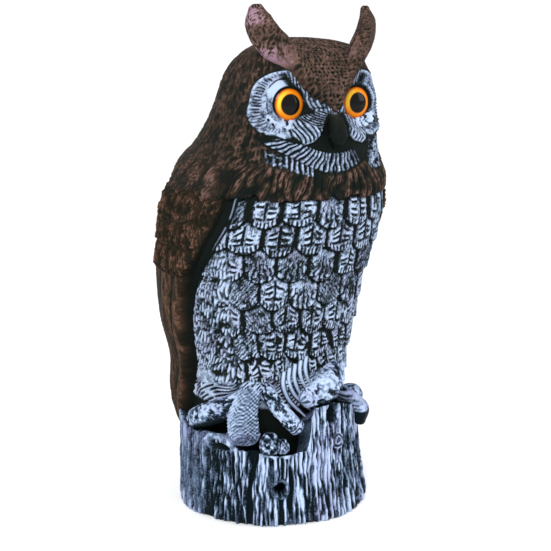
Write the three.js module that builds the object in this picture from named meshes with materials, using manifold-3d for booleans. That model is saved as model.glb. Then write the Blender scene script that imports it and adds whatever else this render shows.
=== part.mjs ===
// A great horned owl on a tree stump: a blow-moulded garden decoy with two glossy set-in eyes.
// The owl looks along -Y, its right wing is on -X, and the stump stands on the plane z = 0.
// All lengths are in millimetres and all angles in degrees, counted from the front of the owl
// towards its left wing.
import * as THREE from 'three';
import { mergeVertices } from 'three/addons/utils/BufferGeometryUtils.js';
import Module from 'manifold-3d';

const wasm = await Module();
wasm.setup();

// Driving dimensions

const owlHeight = 406;            // from the ground to the ear tufts' tips
const stumpRadius = 76;
const stumpEdgeRadius = 3;        // rounded lower edge
const stumpFlare = 3.4;           // how much the stump spreads at the ground
const stumpLean = 3.4;            // how much more it tapers on the owl's left than on its right
const barkDepth = 2.4;            // ridges and furrows down the stump
const barkRidges = 32;
const drainHoleDiameter = 10;     // round hole low on the stump, on the owl's right of its front
const drainHoleDepth = 16;
const drainHoleHeight = 30;
const drainHoleAngle = -26;
const eyeDiameter = 24.6;
const eyeThickness = 8;           // flat back to the top of the dome
const eyeDome = 4.2;
const eyeClearance = 0.3;
const eyeTurn = 3.4;              // each eye looks a little outwards
const eyelidWidth = 4.2;
const eyelidHeight = 1.6;
const wingStep = 1;               // how proud the folded wings stand, 1 as on the real decoy
const featherTier = 22;           // pitch of the feather rows
const breastFeatherWidth = 24;
const breastFeatherLift = 3.4;
const wingFeatherLift = 2;
const wingFeathers = 5;           // across one folded wing
const quillLift = 1.6;
const thighBulge = 6;             // feathered thighs above the feet
const foreheadFill = 3;           // how far the forehead rises between the brows
const tuftLean = 1.8;             // both ear tufts lean a little to the owl's right
const beakWidth = 17;
const toeRadius = 6.6;
const legRadius = 11;
const collarStep = 3.2;           // how proud the brown ruff stands over the breast

const brown = new THREE.Color(0.17, 0.11, 0.085);
const orange = new THREE.Color(0.85, 0.36, 0.02);

// The free form keeps its proportions as shares of the owl's height
const mm = owlHeight / 406;
const rad = THREE.MathUtils.degToRad;
const { clamp, lerp, smoothstep } = THREE.MathUtils;

// The figure's foot keeps its place inside the stump's skin when the stump changes
const seat = (inset) => stumpRadius - inset;

// Stations of the figure, from inside the stump to the crown. Each gives the height, the half
// width of the body, its reach to the front and back, where it is widest, how square its front
// and back are, how thick the folded wing is and the angle of the wing's front edge.
const stations = [
  { z: 40, half: seat(16), front: seat(26), back: 64, mid: 8,
    boxyFront: 2.2, boxyBack: 2.2, wing: 0, edge: 112 },
  { z: 64, half: seat(14), front: seat(24), back: 84, mid: 9,
    boxyFront: 2.2, boxyBack: 2.3, wing: 8.5, edge: 109 },
  { z: 85, half: seat(13), front: seat(24), back: 90, mid: 10,
    boxyFront: 2.2, boxyBack: 2.4, wing: 10, edge: 106 },
  { z: 115, half: seat(14.5), front: seat(23), back: 88, mid: 8,
    boxyFront: 2.2, boxyBack: 2.4, wing: 11.5, edge: 101 },
  { z: 150, half: 70, front: 58, back: 89, mid: 8, boxyFront: 2.2, boxyBack: 2.4, wing: 12, edge: 93 },
  { z: 190, half: 75, front: 68, back: 88, mid: 6, boxyFront: 2.2, boxyBack: 2.4, wing: 11.5, edge: 84 },
  { z: 220, half: 82, front: 78, back: 86, mid: 2, boxyFront: 2.2, boxyBack: 2.4, wing: 5.5, edge: 70 },
  { z: 246, half: 83.5, front: 86, back: 81, mid: -4, boxyFront: 2.2, boxyBack: 2.4, wing: 4, edge: 61 },
  { z: 265, half: 80, front: 89, back: 77, mid: -10, boxyFront: 2.3, boxyBack: 2.4, wing: 3.5, edge: 60 },
  { z: 285, half: 72.5, front: 91, back: 73, mid: -18, boxyFront: 2.5, boxyBack: 2.4, wing: 3, edge: 62 },
  { z: 300, half: 65.5, front: 91, back: 59, mid: -26, boxyFront: 2.5, boxyBack: 2.4, wing: 1, edge: 64 },
  { z: 318, half: 62, front: 91, back: 43, mid: -34, boxyFront: 2.5, boxyBack: 2.3, wing: 0, edge: 64 },
  { z: 335, half: 58.5, front: 90, back: 34, mid: -40, boxyFront: 2.5, boxyBack: 2.3, wing: 0, edge: 64 },
  { z: 350, half: 58.5, front: 87, back: 29, mid: -42, boxyFront: 2.5, boxyBack: 2.3, wing: 0, edge: 64 },
  { z: 380, half: 59, front: 83, back: 24, mid: -42, boxyFront: 2.4, boxyBack: 2.2, wing: 0, edge: 64 },
];
const crownTop = 382;             // heights in the owl's own design frame, before mm is applied
const crownStart = 318;
const crownY = -38;
const figureBottom = 45;

// Smooth curve through the stations
function section(z) {
  const last = stations.length - 1;
  let i = 0;
  while (i < last - 1 && stations[i + 1].z < z) i += 1;
  const span = stations[i + 1].z - stations[i].z;
  const t = clamp((z - stations[i].z) / span, 0, 1);
  const blend = {};
  for (const key of Object.keys(stations[i])) {
    const slope = (k) => {
      const a = Math.max(k - 1, 0);
      const b = Math.min(k + 1, last);
      return (stations[b][key] - stations[a][key]) / (stations[b].z - stations[a].z) * span;
    };
    const p0 = stations[i][key];
    const p1 = stations[i + 1][key];
    const t2 = t * t;
    const t3 = t2 * t;
    blend[key] = (2 * t3 - 3 * t2 + 1) * p0 + (t3 - 2 * t2 + t) * slope(i)
      + (3 * t2 - 2 * t3) * p1 + (t3 - t2) * slope(i + 1);
  }
  return blend;
}

// The smooth figure: where the direction `angle` at height z meets body or folded wing
function figurePoint(angle, z) {
  const s = section(z);
  const side = Math.abs(Math.sin(rad(angle)));
  const ahead = Math.cos(rad(angle));
  const power = ahead > 0 ? s.boxyFront : s.boxyBack;
  const depth = ahead > 0 ? s.front + s.mid : s.back - s.mid;
  let reach = ((side / s.half) ** power + (Math.abs(ahead) / depth) ** power) ** (-1 / power);
  reach += wingStep * s.wing * wingMask(angle, z, s.edge);
  const rise = clamp((z - crownStart) / (crownTop - crownStart), 0, 1);
  const dome = (1 - rise ** 2.9) ** (1 / 2.4);
  const x = reach * Math.sin(rad(angle)) * dome;
  const y = crownY + (s.mid - reach * ahead - crownY) * dome;
  return new THREE.Vector3(x, y, z);
}

// 1 on the folded wings, 0 on the belly, with the tail showing between the wing tips behind
function wingMask(angle, z, edge) {
  const turn = Math.abs(angle);
  const tailHalf = lerp(30, 4, smoothstep(z, 110, 190));
  const tail = (1 - smoothstep(180 - turn, tailHalf - 3, tailHalf + 3)) * (1 - smoothstep(z, 150, 180));
  return smoothstep(turn, edge - 1.2, edge + 1.2) * (1 - 0.5 * tail);
}

// Feathers lie in rows that lap over the next row down. The first row hangs from the collar at
// collarLine, each feather is one turn of `place` wide and every second row is shifted by half.
const collarLine = 262;
const featherRows = 7;
const breastReach = 76;           // from the figure's middle to the feathers that the pitch is set by
const featherTurn = THREE.MathUtils.radToDeg(breastFeatherWidth / (breastReach * mm));
const featherRound = 0.32;        // how far a feather's sides rise from its tip, in tiers
const collarRound = 0.1;          // the same for the ruff's own lower edge
const collarBehind = 0.44;        // how much of its step the ruff keeps over the wings and back

function featherOff(place, row) {
  const shifted = place + (row % 2 === 0 ? 0 : 0.5);
  return 2 * Math.abs(shifted - Math.round(shifted));
}

// How far below the collar the tips of a row end, in tiers
function featherLine(place, row) {
  return row + 1 - (row < 0 ? collarRound : featherRound) * featherOff(place, row) ** 2;
}

function featherHeight(place, down) {
  const level = Math.max(0, down) / featherTier;
  let row = Math.floor(level);
  if (level >= featherLine(place, row)) row += 1;
  const above = featherLine(place, row - 1);
  const along = (level - above) / (featherLine(place, row) - above);
  return (0.25 + 0.75 * along) * (1 - 0.45 * featherOff(place, row) ** 4);
}

// Where a direction lies across the feathers: counted from the breastbone in front of the wing's
// edge, and from the edge to the spine on the wing
function featherPlace(angle, edge) {
  const turn = Math.abs(angle);
  return turn < edge ? turn / featherTurn : wingFeathers * (turn - edge) / (180 - edge);
}

// Facial discs: ovals round the eyes with raised rims
const disc = { x: 33, z: 332, halfWidth: 26, halfHeight: 25, rim: 2.2 };

function discReach(x, z) {
  return Math.hypot((Math.abs(x) - disc.x) / disc.halfWidth, (z - disc.z) / disc.halfHeight);
}

function faceRelief(p) {
  const x = Math.abs(p.x);
  const rim = disc.rim * Math.exp(-(((discReach(x, p.z) - 1.04) / 0.12) ** 2));
  const tuftFoot = 5 * Math.exp(-((x - 35) ** 2 + (p.y + 66) ** 2) / 17 ** 2) * smoothstep(p.z, 355, 366);
  const chin = 2 * Math.exp(-(((p.z - 296) / 7) ** 2)) * (1 - smoothstep(x, 36, 52));
  return rim + chin + tuftFoot + foreheadRelief(x, p.z);
}

// Height of the ruff's scalloped lower edge
function collarEdge(place) {
  return collarLine - featherTier * featherLine(place, -1);
}

// Brown ruff under the face, ending in an overhanging lower edge that runs on round the back
function collarRelief(angle, z, edge) {
  const body = smoothstep(z, edge, edge + 1.2) * (1 - smoothstep(z, 272, 290));
  return collarStep * body * lerp(collarBehind, 1, 1 - smoothstep(Math.abs(angle), 55, 70));
}

// The forehead lies nearly flush with the brows on either side of it
function foreheadRelief(x, z) {
  const brow = lerp(4, 45, clamp((z - 331) / 53, 0, 1));
  return foreheadFill * (1 - smoothstep(x, brow - 4, brow + 1)) * smoothstep(z, 326, 340)
    * (1 - smoothstep(z, 362, 376));
}

// Round the owl's right thigh the feathers lie further out and back than round its left one
const thighs = [{ angle: -62, z: 104 }, { angle: 18, z: 101 }];

// Everything that stands proud of the smooth figure or is sunk in it
function figureRelief(angle, z, p) {
  const { edge } = section(z);
  const turn = Math.abs(angle);
  const place = featherPlace(angle, edge);
  const collar = collarEdge(place);
  let relief = collarRelief(angle, z, collar);
  if (p.y < -45 && z > 285) relief += faceRelief(p);
  const inRows = smoothstep(z, 100, 109) * (1 - smoothstep(z, collar - 1, collar));
  const belly = 1 - smoothstep(turn, edge - 10, edge - 3);
  relief += belly * inRows * breastFeatherLift * featherHeight(place, collarLine - z);
  for (const thigh of thighs) {
    relief += thighBulge * Math.exp(-(((angle - thigh.angle) / 24) ** 2) - (((z - thigh.z) / 17) ** 2));
  }
  const onWing = smoothstep(turn, edge + 1, edge + 6);
  const covert = collarLine - 3 * featherTier;
  if (z > covert) relief += onWing * inRows * wingFeatherLift * (0.6 + featherHeight(place, collarLine - z));
  else relief += onWing * smoothstep(z, 70, 84) * quillLift * (0.3 + 0.5 * Math.cos(2 * Math.PI * place));
  return relief;
}

// A closed solid from rings of points, with a pole at each end
function closedLoft(rings, firstPole, lastPole) {
  const count = rings[0].length;
  const points = [firstPole, ...rings.flat(), lastPole];
  const index = [];
  const at = (r, c) => 1 + r * count + (c % count);
  for (let c = 0; c < count; c += 1) {
    index.push(0, at(0, c + 1), at(0, c));
    index.push(points.length - 1, at(rings.length - 1, c), at(rings.length - 1, c + 1));
    for (let r = 0; r + 1 < rings.length; r += 1) {
      const [a, b, d, e] = [at(r, c), at(r, c + 1), at(r + 1, c + 1), at(r + 1, c)];
      const rising = points[a].distanceTo(points[d]) < points[b].distanceTo(points[e]);
      if (rising) index.push(a, b, d, a, d, e);
      else index.push(a, b, e, b, d, e);
    }
  }
  const geometry = new THREE.BufferGeometry().setFromPoints(points);
  geometry.setIndex(index);
  return geometry;
}

function toSolid(geometry) {
  const plain = geometry.clone();
  plain.deleteAttribute('normal');
  plain.deleteAttribute('uv');
  const merged = mergeVertices(plain, 1e-4);
  return new wasm.Manifold(new wasm.Mesh({
    numProp: 3,
    vertProperties: new Float32Array(merged.attributes.position.array),
    triVerts: new Uint32Array(merged.index.array),
  }));
}

function toGeometry(solid) {
  const mesh = solid.getMesh();
  const geometry = new THREE.BufferGeometry();
  geometry.setAttribute('position', new THREE.BufferAttribute(mesh.vertProperties, 3));
  geometry.setIndex(new THREE.BufferAttribute(mesh.triVerts, 1));
  geometry.computeVertexNormals();
  return geometry;
}

// The figure's rings, each as its height at a feather place: level ones, and three to each row of
// feathers, which follow the row's tips so that they step down sharply
function ringHeights() {
  const rings = [];
  const run = (from, to, step) => {
    const n = Math.round((to - from) / step);
    for (let k = 0; k < n; k += 1) rings.push(() => from + (to - from) * k / n);
  };
  run(figureBottom, collarLine - featherRows * featherTier, 9);
  for (let row = featherRows - 1; row >= 0; row -= 1) {
    for (const along of [0.96, 0.5, 0.04]) {
      rings.push((place) => collarLine
        - featherTier * lerp(featherLine(place, row - 1), featherLine(place, row), along));
    }
  }
  rings.push((place) => collarEdge(place) + 1.5);
  run(collarLine + 7, crownStart, 4.3);
  const domeRings = 13;
  for (let k = 0; k < domeRings; k += 1) {
    rings.push(() => crownStart + (crownTop - crownStart) * Math.sin(rad(88 * k / (domeRings - 1))));
  }
  return rings;
}

// Directions of one ring: four to a breast feather, a pair at each wing's edge and two to a
// wing feather
function ringAngles(z) {
  const { edge } = section(z);
  const edgeGap = 1.3;
  const half = [];
  const chest = 12;
  for (let k = 0; k <= chest; k += 1) half.push(k * featherTurn / 4);
  const chestTurn = half.at(-1);
  const flank = 4;
  for (let k = 1; k < flank; k += 1) half.push(lerp(chestTurn, edge, k / flank));
  half.push(edge - edgeGap, edge + edgeGap);
  const wing = wingFeathers * 2;
  for (let k = 1; k <= wing; k += 1) half.push(lerp(edge, 180, k / wing));
  return [...half.slice(1, -1).reverse().map((a) => -a), ...half];
}

// The eye's own frame: where its axis meets the lids' plane, and which way it looks
const eyeSeat = { x: 30.2, y: -74.5, z: 332.5 };

function eyeFrame(side) {
  const centre = new THREE.Vector3(side * eyeSeat.x, eyeSeat.y, eyeSeat.z).multiplyScalar(mm);
  const look = new THREE.Vector3(side * Math.sin(rad(eyeTurn)), -Math.cos(rad(eyeTurn)), 0);
  return { centre, look };
}

// Dishes the facial disc in to the plane that the eye sits in and raises the lid as a ring
function seatEye(p) {
  const { centre, look } = eyeFrame(Math.sign(p.x) || 1);
  const offset = p.clone().sub(centre);
  const depth = offset.dot(look);
  const out = Math.sqrt(Math.max(0, offset.lengthSq() - depth * depth));
  const lidMiddle = eyeDiameter / 2 + eyelidWidth / 2;
  const lid = eyelidHeight * Math.exp(-(((out - lidMiddle) / (eyelidWidth * 0.6)) ** 2));
  const hold = 1 - smoothstep(discReach(p.x / mm, p.z / mm), 0.5, 1.02);
  p.addScaledVector(look, hold * (lid - depth));
}

function figureGeometry() {
  const angleStep = 1.5;
  const heightStep = 1.5;
  const rings = ringHeights().map((height) => ringAngles(height(0)).map((angle) => {
    const z = height(featherPlace(angle, section(height(0)).edge));
    const p = figurePoint(angle, z);
    const alongRing = figurePoint(angle + angleStep, z).sub(figurePoint(angle - angleStep, z));
    const upRing = figurePoint(angle, Math.min(z + heightStep, crownTop - 0.01))
      .sub(figurePoint(angle, z - heightStep));
    const normal = alongRing.cross(upRing).normalize();
    p.addScaledVector(normal, figureRelief(angle, z, p)).multiplyScalar(mm);
    if (p.y < -40 * mm && z > 290) seatEye(p);
    return p;
  }));
  const bottom = new THREE.Vector3(0, 0, figureBottom * mm);
  const top = new THREE.Vector3(0, crownY * mm, crownTop * mm);
  return closedLoft(rings, bottom, top);
}

// Height of the broken stump's rim at each angle round it
const rim = [[-180, 80], [-110, 76], [-86, 69], [-72, 72], [-60, 73], [-51, 61], [-25, 57.5], [-9, 59],
  [-3, 93], [10, 94], [40, 86], [90, 80], [180, 80]];

function rimHeight(angle) {
  let i = 0;
  while (i < rim.length - 2 && rim[i + 1][0] < angle) i += 1;
  const t = smoothstep(angle, rim[i][0], rim[i + 1][0]);
  return lerp(rim[i][1], rim[i + 1][1], t) * mm;
}

// The stump tapers more on its left front side, and spreads out again there at the ground
const leanTurn = rad(59);
const leanSpread = 1.2;

function leanToward(turn) {
  return Math.cos(turn - leanTurn) + 0.25;
}

// Bark: uneven ridges that run down the stump
function bark(angle) {
  const turn = rad(angle);
  const wander = 1.3 * Math.sin(3 * turn + 0.6) + 0.8 * Math.sin(5 * turn + 2);
  const uneven = 0.6 * Math.sin(7 * turn) - stumpLean * leanToward(turn);
  return barkDepth * (0.5 + 0.5 * Math.cos(barkRidges * turn + wander)) + uneven;
}

function stumpGeometry() {
  const columns = barkRidges * 2;
  const rings = [];
  const ringAt = (radiusOf, heightOf) => {
    const ring = [];
    for (let c = 0; c < columns; c += 1) {
      const angle = 360 * c / columns - 180;
      const r = radiusOf(angle);
      ring.push(new THREE.Vector3(r * Math.sin(rad(angle)), -r * Math.cos(rad(angle)), heightOf(angle)));
    }
    rings.push(ring);
  };
  const skin = (angle) => stumpRadius - barkDepth + bark(angle);
  const flare = (angle) => stumpFlare + stumpLean * leanSpread * leanToward(rad(angle));
  ringAt((a) => skin(a) + flare(a) - stumpEdgeRadius, () => 0);
  for (const share of [0, 0.25, 0.6, 0.97]) {
    ringAt((a) => skin(a) + flare(a) * (1 - share) ** 2,
      (a) => lerp(stumpEdgeRadius * 1.2, rimHeight(a), share));
  }
  ringAt((a) => skin(a) - 3, (a) => rimHeight(a));
  ringAt((a) => skin(a) * 0.8, (a) => rimHeight(a) - 5 * mm);
  return closedLoft(rings, new THREE.Vector3(0, 0, 0), new THREE.Vector3(0, 0, 60 * mm));
}

// A limb of changing thickness along a smooth line, round at both ends
function limbGeometry(line, widths, flat = 1, sides = 8, broad = null) {
  const curve = new THREE.CatmullRomCurve3(line);
  const steps = (line.length - 1) * 2;
  const rings = [];
  for (let k = 0; k <= steps; k += 1) {
    const t = k / steps;
    const centre = curve.getPoint(t);
    const tangent = curve.getTangent(t);
    const outward = new THREE.Vector3(centre.x, centre.y, 0).normalize();
    const level = new THREE.Vector3().crossVectors(tangent, outward);
    const across = (broad || level).clone().projectOnPlane(tangent).normalize();
    const up = new THREE.Vector3().crossVectors(tangent, across);
    const place = t * (widths.length - 1);
    const i = Math.min(Math.floor(place), widths.length - 2);
    const radius = lerp(widths[i], widths[i + 1], place - i);
    const ring = [];
    for (let c = 0; c < sides; c += 1) {
      const turn = 2 * Math.PI * c / sides;
      ring.push(centre.clone().addScaledVector(across, radius * Math.cos(turn))
        .addScaledVector(up, radius * flat * Math.sin(turn)));
    }
    rings.push(ring);
  }
  const first = curve.getPoint(0).addScaledVector(curve.getTangent(0), -widths[0] * 0.6);
  const last = curve.getPoint(1).addScaledVector(curve.getTangent(1), widths.at(-1) * 0.6);
  return closedLoft(rings, first, last);
}

// A place on the stump: angle round it, distance from its skin and height
function onStump(angle, outside, z) {
  const r = stumpRadius + outside;
  return new THREE.Vector3(r * Math.sin(rad(angle)), -r * Math.cos(rad(angle)), z * mm);
}

// The feathered feet: on each side the leg with the middle toe below it, and a toe to either
// side. Each point gives the angle round the stump, how far outside its skin it lies, and its
// height. The owl's left foot grips the tall side of the stump, so its inner toe is bunched up.
const feet = [
  { line: [[-46, -32, 116], [-47, -9, 103], [-48.5, 0, 89], [-47.5, 1, 74]], flat: 0.62,
    widths: [0.65, 0.85, 1.1, 1.15].map((share) => share * legRadius) },
  { line: [[-50, -12, 101], [-62, -4.5, 92.5], [-76, -3, 85], [-89, -3.5, 77.5]], flat: 1,
    widths: [1.1, 1.4, 1.4, 1.25].map((share) => share * toeRadius) },
  { line: [[-38, -22, 108], [-30, -11, 99], [-21, -4, 87], [-15, -3, 79]], flat: 1,
    widths: [1, 1, 0.95, 0.9].map((share) => share * toeRadius) },
  { line: [[46, -24, 92], [43, -6, 88], [41, 1.5, 81], [39.5, 1, 72]], flat: 0.62,
    widths: [0.85, 0.85, 0.85, 0.6].map((share) => share * legRadius) },
  { line: [[57, -12, 82], [70, -5.5, 83], [84, -4.5, 79], [95, -4.5, 71]], flat: 1,
    widths: [1.2, 1.2, 1.1, 0.8].map((share) => share * toeRadius) },
  { line: [[34, -26, 116], [20, -13, 112], [5, -7, 107], [-8, -9, 100]], flat: 0.8,
    widths: [1.5, 1.9, 1.8, 1.1].map((share) => share * toeRadius) },
];

function footGeometry({ line, flat, widths }) {
  return limbGeometry(line.map(([angle, outside, z]) => onStump(angle, outside, z)), widths, flat);
}

// Brow and ear tuft in one: from beside the beak up over the eye to the tuft's blunt tip
function tuftGeometry(side) {
  const line = [[6, -86.5, 333], [18, -80.5, 350], [29, -74.5, 364], [38, -70.5, 375], [45.2, -67, 384.5],
    [48.8, -64, 394], [49, -61, 402.5]];
  const widths = [4.5, 7.5, 11.5, 14, 13, 11, 6];
  const broad = new THREE.Vector3(-side * 0.5, -0.87, 0);
  const place = ([x, y, z]) => new THREE.Vector3(side * x - tuftLean * smoothstep(z, 350, 385), y, z);
  return limbGeometry(line.map((node) => place(node).multiplyScalar(mm)),
    widths.map((width) => width * mm), 0.6, 10, broad);
}

// Hooked beak, from between the eyes to its tip over the chin
function beakGeometry() {
  const line = [[0, -84, 329], [0, -92, 321], [0, -96, 309], [0, -92, 300]];
  const half = beakWidth / 2;
  return limbGeometry(line.map(([x, y, z]) => new THREE.Vector3(x, y, z).multiplyScalar(mm)),
    [half * 0.35, half * 0.8, half, half * 0.25], 0.75, 10);
}

// Turns a shape made round its own +Z so that +Z looks along `look` from `centre`
function aim(geometry, centre, look) {
  const turn = new THREE.Quaternion().setFromUnitVectors(new THREE.Vector3(0, 0, 1), look);
  return geometry.applyQuaternion(turn).translate(centre.x, centre.y, centre.z);
}

// The eye: a disc with a flat back and a domed glossy front
function eyeGeometry(side) {
  const { centre, look } = eyeFrame(side);
  const radius = eyeDiameter / 2;
  const sphere = (radius * radius + eyeDome * eyeDome) / (2 * eyeDome);
  const back = eyeDome - eyeThickness;
  const profile = [new THREE.Vector2(0, back), new THREE.Vector2(radius, back)];
  const domeSteps = 4;
  for (let k = 0; k <= domeSteps; k += 1) {
    const r = radius * (1 - k / domeSteps);
    profile.push(new THREE.Vector2(r, Math.sqrt(sphere * sphere - r * r) - sphere + eyeDome));
  }
  const lathe = new THREE.LatheGeometry(profile, 22).rotateX(Math.PI / 2);
  return aim(lathe, centre, look);
}

// What the eye needs cut out of the head: its own cylinder and the clearance round it
function socketGeometry(side) {
  const { centre, look } = eyeFrame(side);
  const depth = eyeThickness - eyeDome + eyeClearance;
  const mouth = eyeDome + eyelidHeight;
  const radius = eyeDiameter / 2 + eyeClearance;
  const cylinder = new THREE.CylinderGeometry(radius, radius, depth + mouth, 32).rotateX(Math.PI / 2);
  return aim(cylinder.translate(0, 0, (mouth - depth) / 2), centre, look);
}

function drainHoleGeometry() {
  const radius = drainHoleDiameter / 2;
  const proud = 4;
  const length = drainHoleDepth + proud;
  const out = onStump(drainHoleAngle, 0, 0).normalize();
  const cylinder = new THREE.CylinderGeometry(radius, radius, length, 24).rotateX(Math.PI / 2);
  const centre = out.clone().multiplyScalar(stumpRadius - drainHoleDepth + length / 2);
  centre.z = drainHoleHeight;
  return aim(cylinder, centre, out);
}

function shellSolid() {
  let solid = toSolid(figureGeometry()).add(toSolid(stumpGeometry())).add(toSolid(beakGeometry()));
  for (const side of [-1, 1]) solid = solid.add(toSolid(tuftGeometry(side)));
  for (const limb of feet) solid = solid.add(toSolid(footGeometry(limb)));
  for (const side of [-1, 1]) solid = solid.subtract(toSolid(socketGeometry(side)));
  return solid.subtract(toSolid(drainHoleGeometry()));
}

function named(name, geometry, material) {
  const mesh = new THREE.Mesh(geometry, material);
  mesh.name = name;
  return mesh;
}

const shellPlastic = new THREE.MeshStandardMaterial({ color: brown, roughness: 0.62, metalness: 0 });
const eyePlastic = new THREE.MeshStandardMaterial({ color: orange, roughness: 0.12, metalness: 0 });

const owlDecoy = new THREE.Group();
owlDecoy.add(named('owl_body', toGeometry(shellSolid()), shellPlastic));
owlDecoy.add(named('eye_right', eyeGeometry(-1), eyePlastic));
owlDecoy.add(named('eye_left', eyeGeometry(1), eyePlastic.clone()));

export default owlDecoy;
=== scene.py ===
# %% [markdown]
# # A great horned owl decoy on a tree stump
#
# The real thing is one blow-moulded plastic shell, dark all through, with two glossy eyes set into
# the head. The feathers and the bark are carved into the mould. Brown is then sprayed over the head,
# back and wings, and a nearly dry brush of pale blue drags paint over whatever stands proud on the
# face, breast, feet and stump. So this script makes two things for every point of the surface: how
# far the carving stands out, and how much of each paint has caught there.

import bpy
import numpy as np
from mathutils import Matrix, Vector


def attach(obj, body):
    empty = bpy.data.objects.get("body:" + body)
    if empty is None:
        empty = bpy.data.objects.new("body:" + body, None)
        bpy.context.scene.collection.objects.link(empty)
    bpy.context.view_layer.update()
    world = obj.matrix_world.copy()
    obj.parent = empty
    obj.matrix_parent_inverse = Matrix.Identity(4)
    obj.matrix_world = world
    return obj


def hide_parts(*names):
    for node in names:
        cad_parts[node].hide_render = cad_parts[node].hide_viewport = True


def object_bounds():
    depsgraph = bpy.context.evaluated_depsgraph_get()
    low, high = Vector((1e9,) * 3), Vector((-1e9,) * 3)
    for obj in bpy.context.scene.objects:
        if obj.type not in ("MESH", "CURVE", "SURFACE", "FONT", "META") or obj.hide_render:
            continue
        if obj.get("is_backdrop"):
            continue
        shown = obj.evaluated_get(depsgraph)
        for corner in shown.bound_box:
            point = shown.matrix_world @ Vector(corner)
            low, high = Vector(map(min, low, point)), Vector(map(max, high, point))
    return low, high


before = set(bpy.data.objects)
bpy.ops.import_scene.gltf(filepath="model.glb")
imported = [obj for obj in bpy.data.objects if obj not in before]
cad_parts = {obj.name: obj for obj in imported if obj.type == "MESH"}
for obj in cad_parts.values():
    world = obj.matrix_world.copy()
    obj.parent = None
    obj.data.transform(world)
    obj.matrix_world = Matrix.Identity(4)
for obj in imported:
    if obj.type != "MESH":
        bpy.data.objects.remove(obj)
cad_low, cad_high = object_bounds()
print("the solids span", [round(1000 * v) for v in cad_high - cad_low], "mm")

# %% [markdown]
# ## Adding objects and nodes
#
# Everything goes into the scene through these few helpers. A node is described in one line: its kind,
# what each input is linked from or set to, and its settings.

# %% Adding objects and nodes
def add_object(name, data):
    made = bpy.data.objects.new(name, data)
    bpy.context.scene.collection.objects.link(made)
    return made


def store(mesh, name, values):
    """Puts one number per point into the mesh, where a material can read it by name."""
    mesh.attributes.new(name, "FLOAT", "POINT").data.foreach_set("value", values.astype(np.float32))


def feed(tree, sockets, values):
    """Links each socket from the one given for it, or sets it to the value given."""
    for label, value in values.items():
        if isinstance(value, bpy.types.NodeSocket):
            tree.links.new(value, sockets[label])
        else:
            sockets[label].default_value = value


def add_node(tree, kind, values, **settings):
    made = tree.nodes.new(kind)
    for key, value in settings.items():
        setattr(made, key, value)
    feed(tree, made.inputs, values)
    return made.outputs


def add_group(kind, name, inputs):
    """A node group and the sockets that bring in its inputs, each given as label, kind and start value."""
    tree = bpy.data.node_groups.new(name, kind)
    for label, socket_kind, *value in inputs:
        socket = tree.interface.new_socket(label, in_out="INPUT", socket_type="NodeSocket" + socket_kind)
        if value:
            socket.default_value = value[0]
    return tree, tree.nodes.new("NodeGroupInput").outputs


def give_out(tree, label, socket_kind, value):
    """Ends a node group with its one output."""
    tree.interface.new_socket(label, in_out="OUTPUT", socket_type="NodeSocket" + socket_kind)
    tree.links.new(value, tree.nodes.new("NodeGroupOutput").inputs[label])
    return tree


# %% [markdown]
# ## Camera
#
# The owl was photographed a little from its right and from slightly above its shoulder. The camera
# comes first, so that every later look is taken from the same place.

# %% Camera
MM = 0.001
CAMERA_PLACE = Vector((-515.0, -857.2, 380.0)) * MM
AIM = Vector((0.0, 0.0, 200.0)) * MM
FOCAL_PIXELS = 1231.0
FRAME_PIXELS = 551.0
AIM_PIXEL = (272.0, 261.2)

camera_data = bpy.data.cameras.new("camera")
camera_data.sensor_width = 36.0
camera_data.lens = camera_data.sensor_width * FOCAL_PIXELS / FRAME_PIXELS
camera_data.shift_x = 0.5 - AIM_PIXEL[0] / FRAME_PIXELS
camera_data.shift_y = AIM_PIXEL[1] / FRAME_PIXELS - 0.5
camera = add_object("camera", camera_data)
camera.location = CAMERA_PLACE
camera.rotation_euler = (AIM - CAMERA_PLACE).to_track_quat("-Z", "Y").to_euler()
bpy.context.scene.camera = camera
print("lens", round(camera_data.lens, 1), "mm")

# %% [markdown]
# ## The mould's own arithmetic
#
# The whole relief is worked out with numpy on arrays of points. These few helpers are all it needs:
# smooth steps up and down, soft bars and strokes, and a seeded noise that repeats round the owl so
# that no seam shows at its back. Every pattern has a seed of its own, a whole number, and lengths are
# in millimetres.

# %% Helpers
def rise(x, low, high):
    """0 up to low, 1 from high on, and a smooth step between them."""
    t = np.clip((x - low) / (high - low), 0.0, 1.0)
    return t * t * (3.0 - 2.0 * t)


def fall(x, low, high):
    return 1.0 - rise(x, low, high)


def window(x, from_low, from_high, to_low, to_high):
    """1 between a rise and a fall, 0 outside them."""
    return rise(x, from_low, from_high) * fall(x, to_low, to_high)


def bump(x, middle, width):
    return np.exp(-(((x - middle) / width) ** 2))


def mix(a, b, t):
    return a + (b - a) * t


def bars(phase, share=0.5, soft=0.25):
    """1 on bars that repeat once per unit of phase and fill that share of it, 0 between them."""
    off = 2.0 * np.abs(phase - np.round(phase))
    return fall(off, share - soft, share + soft)


def strokes(u, v, seed, wide=0.5, long=0.7, soft=0.22):
    """1 on short strokes along v, one in each unit cell of a staggered grid, no two quite alike."""
    i = np.round(u)
    v = v + chance(i, i, seed)
    j = np.floor(v)
    a, b = chance(i, j, seed + 1), chance(i, j, seed + 2)
    half = 0.5 * long * (0.55 + 0.75 * a)
    across = fall(2 * np.abs(u - i - 0.2 * (b - 0.5)), wide - soft, wide + soft)
    return across * fall(np.abs(v - j - 0.5 - 0.25 * (b - 0.5)), half - 0.1, half + 0.04)


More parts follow.
